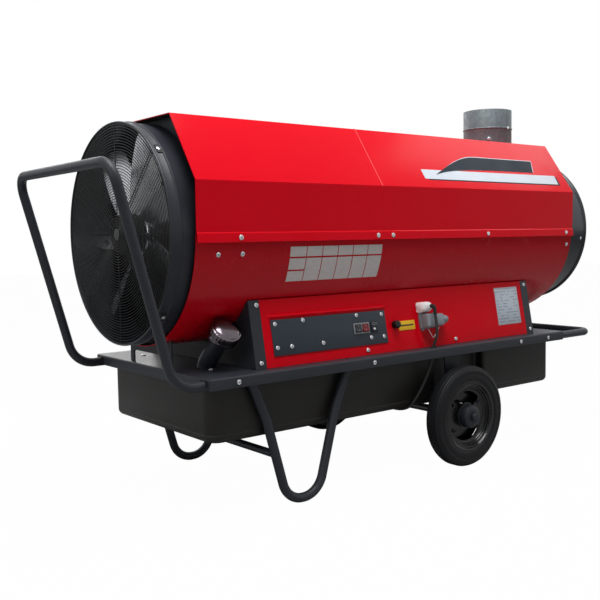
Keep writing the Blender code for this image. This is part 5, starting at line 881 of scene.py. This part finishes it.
# Heat parts inside the casing: the burner's red housing, the steel chamber and jacket, the collar in the
# flue, and the copper fuel line. Their turned and welded shapes are simple, so the solids themselves carry
# the finishes, as do the solids of the axle's two brackets.
scaled_steel = mottled(
    "scaled_steel", (112, 108, 104), (70, 66, 64), 0.55, 0.85, 14, 500, depth=0.15, spread=0.12
)
burner_red = enamel("burner_red", (170, 8, 20), (140, 6, 16), rough=0.30)
copper = mottled("fuel_line_copper", (196, 120, 84), (150, 84, 58), 0.32, 1.0, patch=50, grain=500)
for name, finish in {
    "heat_exchanger": scaled_steel,
    "exhaust_collar": scaled_steel,
    "combustion_chamber": scaled_steel,
    "burner": burner_red,
    "fuel_line": copper,
    "axle_bracket_near": powder_black,
    "axle_bracket_far": powder_black,
}.items():
    for slot_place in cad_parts[name].material_slots:
        slot_place.material = finish


# Control plate: slate-grey powder-coated sheet over the panel's window, held by nine bright pan-head screws
# and cut through for the two rockers and the reset button.
def panel_block(along, low, width, height, back, front, corner=0.0015, edge=0.0006, inset=0.0):
    """A plate lying flat on the near panel's face, between two heights off it, its front edges eased."""
    eased = edge * 0.3
    rows = [(inset, back), (inset, front - edge), (inset + eased, front - eased), (inset + edge, front)]
    return skin(on_panel(layered(oblong(along, low, along + width, low + height), corner, rows, 4)))


slate = mottled("control_slate", (47, 55, 64), (55, 63, 72), 0.42, grain=1500, depth=0.14)
rocker_gap, reset_place = 0.0239, (-0.1095, 0.06275, 0)
plate_holes = [
    *(panel_block(-0.1718 + k * rocker_gap, 0.0572, 0.0212, 0.0211, -0.002, 0.008, 0.0004) for k in (0, 1)),
    skin(on_panel(revolve([(0.0039, -0.004), (0.0039, 0.009)], reset_place, Z, 24))),
]
plate_left, plate_low, plate_width, plate_height, plate_face = -0.4205, 0.025, 0.357, 0.0825, 0.0023
plate = panel_block(plate_left, plate_low, plate_width, plate_height, 0.0003, plate_face, 0.002, 0.0005)
piece("control_plate_sheet", plate, slate, "control_plate", cuts=plate_holes)
shares = [(0.030, 0.88), (0.259, 0.92), (0.729, 0.915), (0.963, 0.88)]
shares += [(0.030, 0.22), (0.144, 0.22), (0.408, 0.215), (0.842, 0.207), (0.963, 0.20)]
spots = [(plate_left + plate_width * a, plate_low + plate_height * u, plate_face) for a, u in shares]
piece("control_plate_screws", panel_heads(spots, radius=0.0052), bright_zinc)


# Switches: two rockers in one silver-grey bezel, the left black and the right dark red, and beside them a
# small reset button in a black bezel. All are moulded plastic, and thin silver marks lie on the rockers'
# faces.
rocker_left, rocker_middle, rocker_half, rocker_width = -0.1712, (0.06775, 0.0051), 0.00955, 0.0200
rocker_back = [(-0.0097, 0.0), (-0.0062, -0.0045), (0.0062, -0.0045), (0.0097, 0.0)]
face_points, end_ease, tilt = 15, 0.0007, math.radians(9)
rocker_lay = np.array([[1, 0, 0], [0, math.cos(tilt), -math.sin(tilt)], [0, math.sin(tilt), math.cos(tilt)]])


def on_rocker(drawn):
    """World points from places drawn on a rocker: along the panel, up the rocker from its middle, and off
    its pivot."""
    return on_panel(np.asarray(drawn, float) @ rocker_lay + (0, *rocker_middle))


def dished(rise):
    """How far a rocker's face stands off its pivot: 3.6 mm at its ends, falling evenly to 2 mm at its
    middle."""
    return 0.0036 - 0.0016 * (1 - abs(rise) / rocker_half)


bezel_silver = mottled("bezel_silver", (150, 152, 156), (128, 130, 134), 0.32, 0.3, patch=60, depth=0.06)
bezel_black = mottled("bezel_black", (28, 31, 36), (36, 39, 44), 0.34, patch=60, depth=0.08)
rocker_black = mottled("rocker_black", (30, 33, 38), (38, 41, 46), 0.28, patch=90, depth=0.04, coat=0.2)
rocker_red = mottled("rocker_red", (120, 20, 28), (104, 14, 22), 0.26, patch=90, depth=0.04, coat=0.2)
silver = mottled("button_silver", (205, 206, 210), (176, 178, 182), 0.24, 0.9, patch=90)
rocker_frame = panel_block(-0.1745, 0.0545, 0.0505, 0.0265, 0.0026, 0.0056, 0.0018, 0.0007)
piece("rocker_bezel_frame", rocker_frame, bezel_silver, "rocker_bezel", cuts=plate_holes[:2])
rocker = [(rise, dished(rise)) for rise in np.linspace(rocker_half, -rocker_half, face_points)]
rocker = np.array(rocker + rocker_back)
rocker[[0, face_points - 1], 1] -= end_ease
mark_rows = []
for middle, width, height in ((-0.0052, 0.0012, 0.0040), (0.0052, 0.0042, 0.0012)):
    outline = oblong(middle - height / 2, -0.0002, middle + height / 2, 0.00015)
    sides = (-width / 2, width / 2)
    mark_rows.append([[(x, rise, dished(rise) + off) for rise, off in outline] for x in sides])
for k, (name, finish, slot) in enumerate(
    (("heat_rocker", rocker_black, "black_plastic"), ("fan_rocker", rocker_red, "rocker_red"))
):
    left = rocker_left + k * rocker_gap
    paddle = skin(on_rocker([[(x, *spot) for spot in rocker] for x in (left, left + rocker_width)]))
    piece(f"{name}_paddle", paddle, finish, name, name, edge=0.0006)
    marks = [skin(on_rocker(rows + (left + rocker_width / 2) * X)) for rows in mark_rows]
    piece(f"{name}_marks", together(*marks), bezel_silver, body=name)
reset_frame = panel_block(-0.1175, 0.0545, 0.0220, 0.0265, 0.0026, 0.0056, 0.0018, 0.0007)
piece("reset_bezel_frame", reset_frame, bezel_black, "reset_bezel", cuts=plate_holes[2:])
button = [(0, 0.0087), (0.0022, 0.0090), (0.0030, 0.0087), (0.0035, 0.0080), (0.0036, 0.0070)]
button += [(0.0036, -0.0004)]
button = skin(on_panel(revolve([*button, (0, -0.0004)], reset_place, Z, 32)), "open")
piece("reset_button_cap", button, silver, "reset_button", "reset_button")
bars = [(-0.1148, low, 0.0166, 0.0008) for low in (0.0735, 0.0775)]
bars += [(left, 0.0735, 0.0008, 0.0048) for left in (-0.1148, -0.0990)]
bars = [panel_block(*bar, 0.0050, 0.00575, 0.0001, 0.0001) for bar in bars]
piece("reset_bezel_mark", together(*bars), bezel_silver)


# Limit reset cap and marker: a black knurled screw cap over the overheat reset, and beside it a yellow
# plate with one grey band across it.
knob = [(0, 0.0160), (0.0070, 0.0160), (0.0084, 0.0156), (0.0094, 0.0146), (0.0100, 0.0130), (0.0100, 0.0020)]
knob += [(0.0097, 0.0003), (0.0063, 0.0003), (0.0063, 0.0063), (0, 0.0063)]
knob = skin(on_panel(fluted(knob, cap_place, Z, 120, [4, 5], flutes=24, depth=0.06, power=1)), "open")
cap_black = mottled("cap_black", (16, 16, 18), (24, 24, 26), 0.30, patch=60, depth=0.08)
piece("limit_cap_knob", knob, cap_black, "limit_cap", "limit_cap", sharp=45)
marker_yellow = mottled("marker_yellow", (255, 206, 58), (250, 196, 48), 0.42, patch=30, grain=700)
marker = panel_block(-0.0185, 0.0510, 0.0580, 0.0240, 0.0003, 0.0013, 0.0015, 0.0003)
piece("marker_plate_sheet", marker, marker_yellow, "marker_plate")
print_grey = mottled("print_grey", (70, 66, 50), (88, 84, 66), 0.5, patch=30, grain=700, depth=0.03)
band = panel_block(-0.0135, 0.0612, 0.0480, 0.0042, 0.0012, 0.00142, 0.0008, 0.0001)
piece("marker_plate_band", band, print_grey)


# Grey connector: a base of light alloy on the panel with a lid line and two feet, a square plug with a
# gland nut that draws off towards the outlet, and the bail of thin wire that hangs below.
connector_grey = mottled("connector_grey", (140, 146, 152), (118, 124, 131), 0.40, 0.25, patch=25, depth=0.12)
base = [
    panel_block(0.0560, 0.0480, 0.0360, 0.0400, 0.0003, 0.0085, 0.004, 0.0012),
    panel_block(0.0600, 0.0500, 0.0310, 0.0360, 0.0080, 0.0303, 0.0045, 0.0060),
    panel_block(0.0875, 0.0482, 0.0045, 0.0396, 0.0003, 0.0300, 0.003, 0.0012),
    *(panel_block(0.0600, low, 0.0100, 0.0090, 0.0003, 0.0030, 0.002, 0.0006) for low in (0.0440, 0.0830)),
]
piece("connector_base_shell", together(*base), connector_grey, "connector_base")
grip = panel_block(0.0923, 0.0518, 0.0330, 0.0324, 0.0020, 0.0290, 0.0050, 0.0050)
gland = [(0, 0), (0.0118, 0), (0.0126, 0.0010), (0.0126, 0.0075), (0.0118, 0.0085), (0.0108, 0.0092)]
gland += [(0.0108, 0.0165), (0.0096, 0.0190), (0.0046, 0.0194), (0.0046, 0.0150), (0, 0.0150)]
gland = skin(on_panel(revolve(gland, (0.1250, 0.0680, 0.0153), X, 12)), "open")
plug_name = "connector_plug"
piece(f"{plug_name}_shell", together(grip, gland), connector_grey, plug_name, plug_name)
bail_corners = [(0.0720, 0.0468, 0.0153), (0.0860, 0.0208, 0.0153), (0.1140, 0.0477, 0.0153)]
bail = skin(on_panel(tube(rounded(bail_corners, [0, 0.004, 0], steps=10), 0.0009, 12)))
piece("connector_bail_wire", bail, bright_zinc, "connector_bail", "connector_bail")


# Power plug: a white moulding in the panel's inlet, with a black ribbed strain relief that turns the cord
# downwards.
plug_white = mottled("plug_white", (252, 250, 250), (240, 238, 237), 0.38, patch=18, depth=0.06)
plug_rows = [(0.0, 0.0003), (0.0, 0.0080), (0.0006, 0.0130), (0.0018, 0.0180), (0.0038, 0.0222)]
plug_rows += [(0.0062, 0.0248), (0.0090, 0.0260), (0.0105, 0.0263)]
plug = [
    skin(on_panel(layered(oblong(0.053, 0.091, 0.094, 0.119), 0.0115, plug_rows))),
    panel_block(0.0516, 0.0896, 0.0438, 0.0308, 0.0003, 0.0040, 0.0080, 0.0010, inset=0.0014),
    panel_block(0.0570, 0.0970, 0.0260, 0.0160, -0.0117, 0.0010, 0.0010, 0.0004),
]
piece("power_plug_moulding", together(*plug), plug_white, "power_plug", "power_plug")
boot_corners = [(0.083, 0.105, 0.0240), (0.083, 0.105, 0.0371), (0.083, 0.081, 0.0371)]
boot_line = rounded(boot_corners, [0, 0.0075, 0], steps=22)
boot_line = np.vstack([boot_line[:-2], np.linspace(boot_line[-2], boot_line[-1], 22)])
share = np.append(0, np.cumsum(np.linalg.norm(np.diff(boot_line, axis=0), axis=1)))
share /= share[-1]
ribs = np.where(share > 0.30, 0.00045 * np.sign(np.sin(2 * np.pi * (share - 0.30) * 9)), 0)
boot = skin(on_panel(tube(boot_line, 0.0053 - 0.0010 * share + ribs, 24)))
piece(
    "power_plug_strain_relief", boot, soft_black, "power_plug_boot", "power_plug", sharp=50
)


# Mains plug on the cord's free end: a round black moulding with a waisted grip and two steel pins, lying on
# the floor.
end_x, end_y, end_z = cord_path[-1]
plug_z = 0.0168
reach = np.array([0.0, 0.004, 0.010, 0.013, 0.018, 0.026, 0.034, 0.041, 0.047, 0.052, 0.0548, 0.0550])
size = [0.0048, 0.0056, 0.0064, 0.0100, 0.0126, 0.0138, 0.0142, 0.0150, 0.0163, 0.0165, 0.0158, 0.0150]
level = np.interp(reach, [0, 0.004, 0.012, 0.055], [end_z, end_z, plug_z, plug_z])
spine = np.stack([end_x - reach, np.full(len(reach), end_y), level], 1)
pin_reach, pin_size = (0.0540, 0.0600, 0.0722, 0.0734, 0.0739), [0.0024, 0.0024, 0.0024, 0.0018, 0.0008]
pins = [
    skin(tube([(end_x - a, end_y + y, plug_z) for a in pin_reach], pin_size, 16))
    for y in (-0.0095, 0.0095)
]
mains_plug = piece("mains_plug_moulding", skin(tube(spine, size, 36)), soft_black, "mains_plug")
mains_pins = piece("mains_plug_pins", together(*pins), plain_steel)


# Labels: silver film in cells on the drum, a silver rating plate on the panel, and the two bars on the
# front hood's slope, a light one with a slanted end and a dark curved one above it.
def film(name, colour, ink, rows, amount):
    """Printed film: plain silver with faint blocks of thin grey lines, which run along X and break off at
    random."""
    material, tree, shader = shader_of(name)
    place = node(tree, "TexCoord", {}, "Object")
    lines = maths(tree, "MULTIPLY", node(tree, "SeparateXYZ", {0: place}, "Z"), rows)
    thin = maths(tree, "GREATER_THAN", maths(tree, "FRACT", lines), 0.70)
    stretched = node(tree, "Mapping", {"Vector": place, "Scale": (110, 0, rows)})
    words = node(tree, "VectorMath", {0: stretched}, operation="FLOOR")
    chance = node(tree, "TexWhiteNoise", {"Vector": words}, "Value", noise_dimensions="3D")
    inked = maths(tree, "MULTIPLY", thin, maths(tree, "LESS_THAN", chance, 0.62))
    printed = blend(tree, maths(tree, "MULTIPLY", inked, amount), tint(colour), tint(ink))
    feed(shader, {"Base Color": printed, "Roughness": 0.38, "Metallic": 0.25})
    return material


cell_film = film("cell_film", (198, 192, 190), (142, 139, 144), 330.0, 0.35)
rating_film = film("rating_film", (190, 200, 212), (100, 109, 124), 118.0, 0.60)
white_film = mottled("white_film", (200, 204, 212), (190, 194, 203), 0.4, patch=20, grain=800, depth=0.03)
cells, columns, column, cell_gap = [], 6, 0.2840 / 6, 0.0012
for k in range(columns):
    x0 = -0.3825 + column * k
    bands = ((187.4, 192.5), (193.4, 199.3), (200.2, 205.8)) if k == 0 else ((187.4, 192.5), (193.4, 205.8))
    for low, high in bands:
        loop = np.vstack([bow(0.25925, low, high, 10), bow(0.25862, high, low, 10)])
        cells.append(along_x(loop, x0 + cell_gap * (k > 0), x0 + column - cell_gap * (k < columns - 1)))
piece("label_cells", together(*cells), cell_film, "label_field")
rating = panel_block(0.3770, 0.0340, 0.1030, 0.1070, 0.0003, 0.0006, 0.0015, 0.0002)
piece("rating_plate_border", rating, white_film, "rating_plate")
rating = panel_block(0.3805, 0.0375, 0.0960, 0.1000, 0.0004, 0.00075, 0.001, 0.0001)
piece("rating_plate_film", rating, rating_film)
fold_foot, fold_head = np.array([-0.2627, 0.7361]), np.array([-0.1622, 0.8836])
slope_rise = unit(fold_head - fold_foot)
slope_off = np.array([-slope_rise[1], slope_rise[0]])


def on_slope(outline, low, high):
    """A flat outline of (x, way up from the fold) laid on the front hood's near slope, between two heights
    off it."""
    x, rise = np.asarray(outline, float).T[:, :, None]
    rows = [fold_foot + rise * slope_rise + off * slope_off for off in (low, high)]
    return skin(np.stack([np.hstack([x, row]) for row in rows]))


bar_light = mottled("bar_light", (200, 207, 215), (188, 195, 205), 0.34, 0.1, patch=12, depth=0.03)
bar_dark = mottled("bar_dark", (27, 38, 48), (23, 33, 42), 0.45, patch=12, depth=0.02, shine=0.08)
bar = np.array([(0.0660, 0.0580), (0.0655, 0.0275), (0.6400, 0.0270), (0.6440, 0.0590)])
shadow = bar + [(0.022, -0.0015), (0.014, -0.0030), (0.0080, -0.0035), (0.0070, -0.0040)]
over = [(0.1135, 0.0420), (0.1430, 0.0570), (0.1668, 0.0686), (0.1963, 0.0821), (0.2273, 0.0940)]
over += [(0.2600, 0.1040), (0.2870, 0.1088), (0.3150, 0.1100)]
under = [(0.3600, 0.0675), (0.2810, 0.0655), (0.2350, 0.0625), (0.1900, 0.0575), (0.1500, 0.0510)]
under += [(0.1135, 0.0420)]
swoosh = np.vstack([flowing(over, 0.004), [(0.5660, 0.1095), (0.5460, 0.0680)], flowing(under, 0.004)[:-1]])
middle = swoosh.mean(0)
border = middle + (swoosh - middle) * (1.010, 1.06)
piece("trim_bar_light_shadow", on_slope(shadow, 0.0001, 0.0004), bar_dark)
piece("trim_bar_light_film", on_slope(bar, 0.0003, 0.0007), bar_light, "trim_bar_light")
piece("trim_bar_border", on_slope(border, 0.0003, 0.0009), bar_light)
piece("trim_bar_dark_film", on_slope(swoosh, 0.0005, 0.0012), bar_dark, "trim_bar_dark")
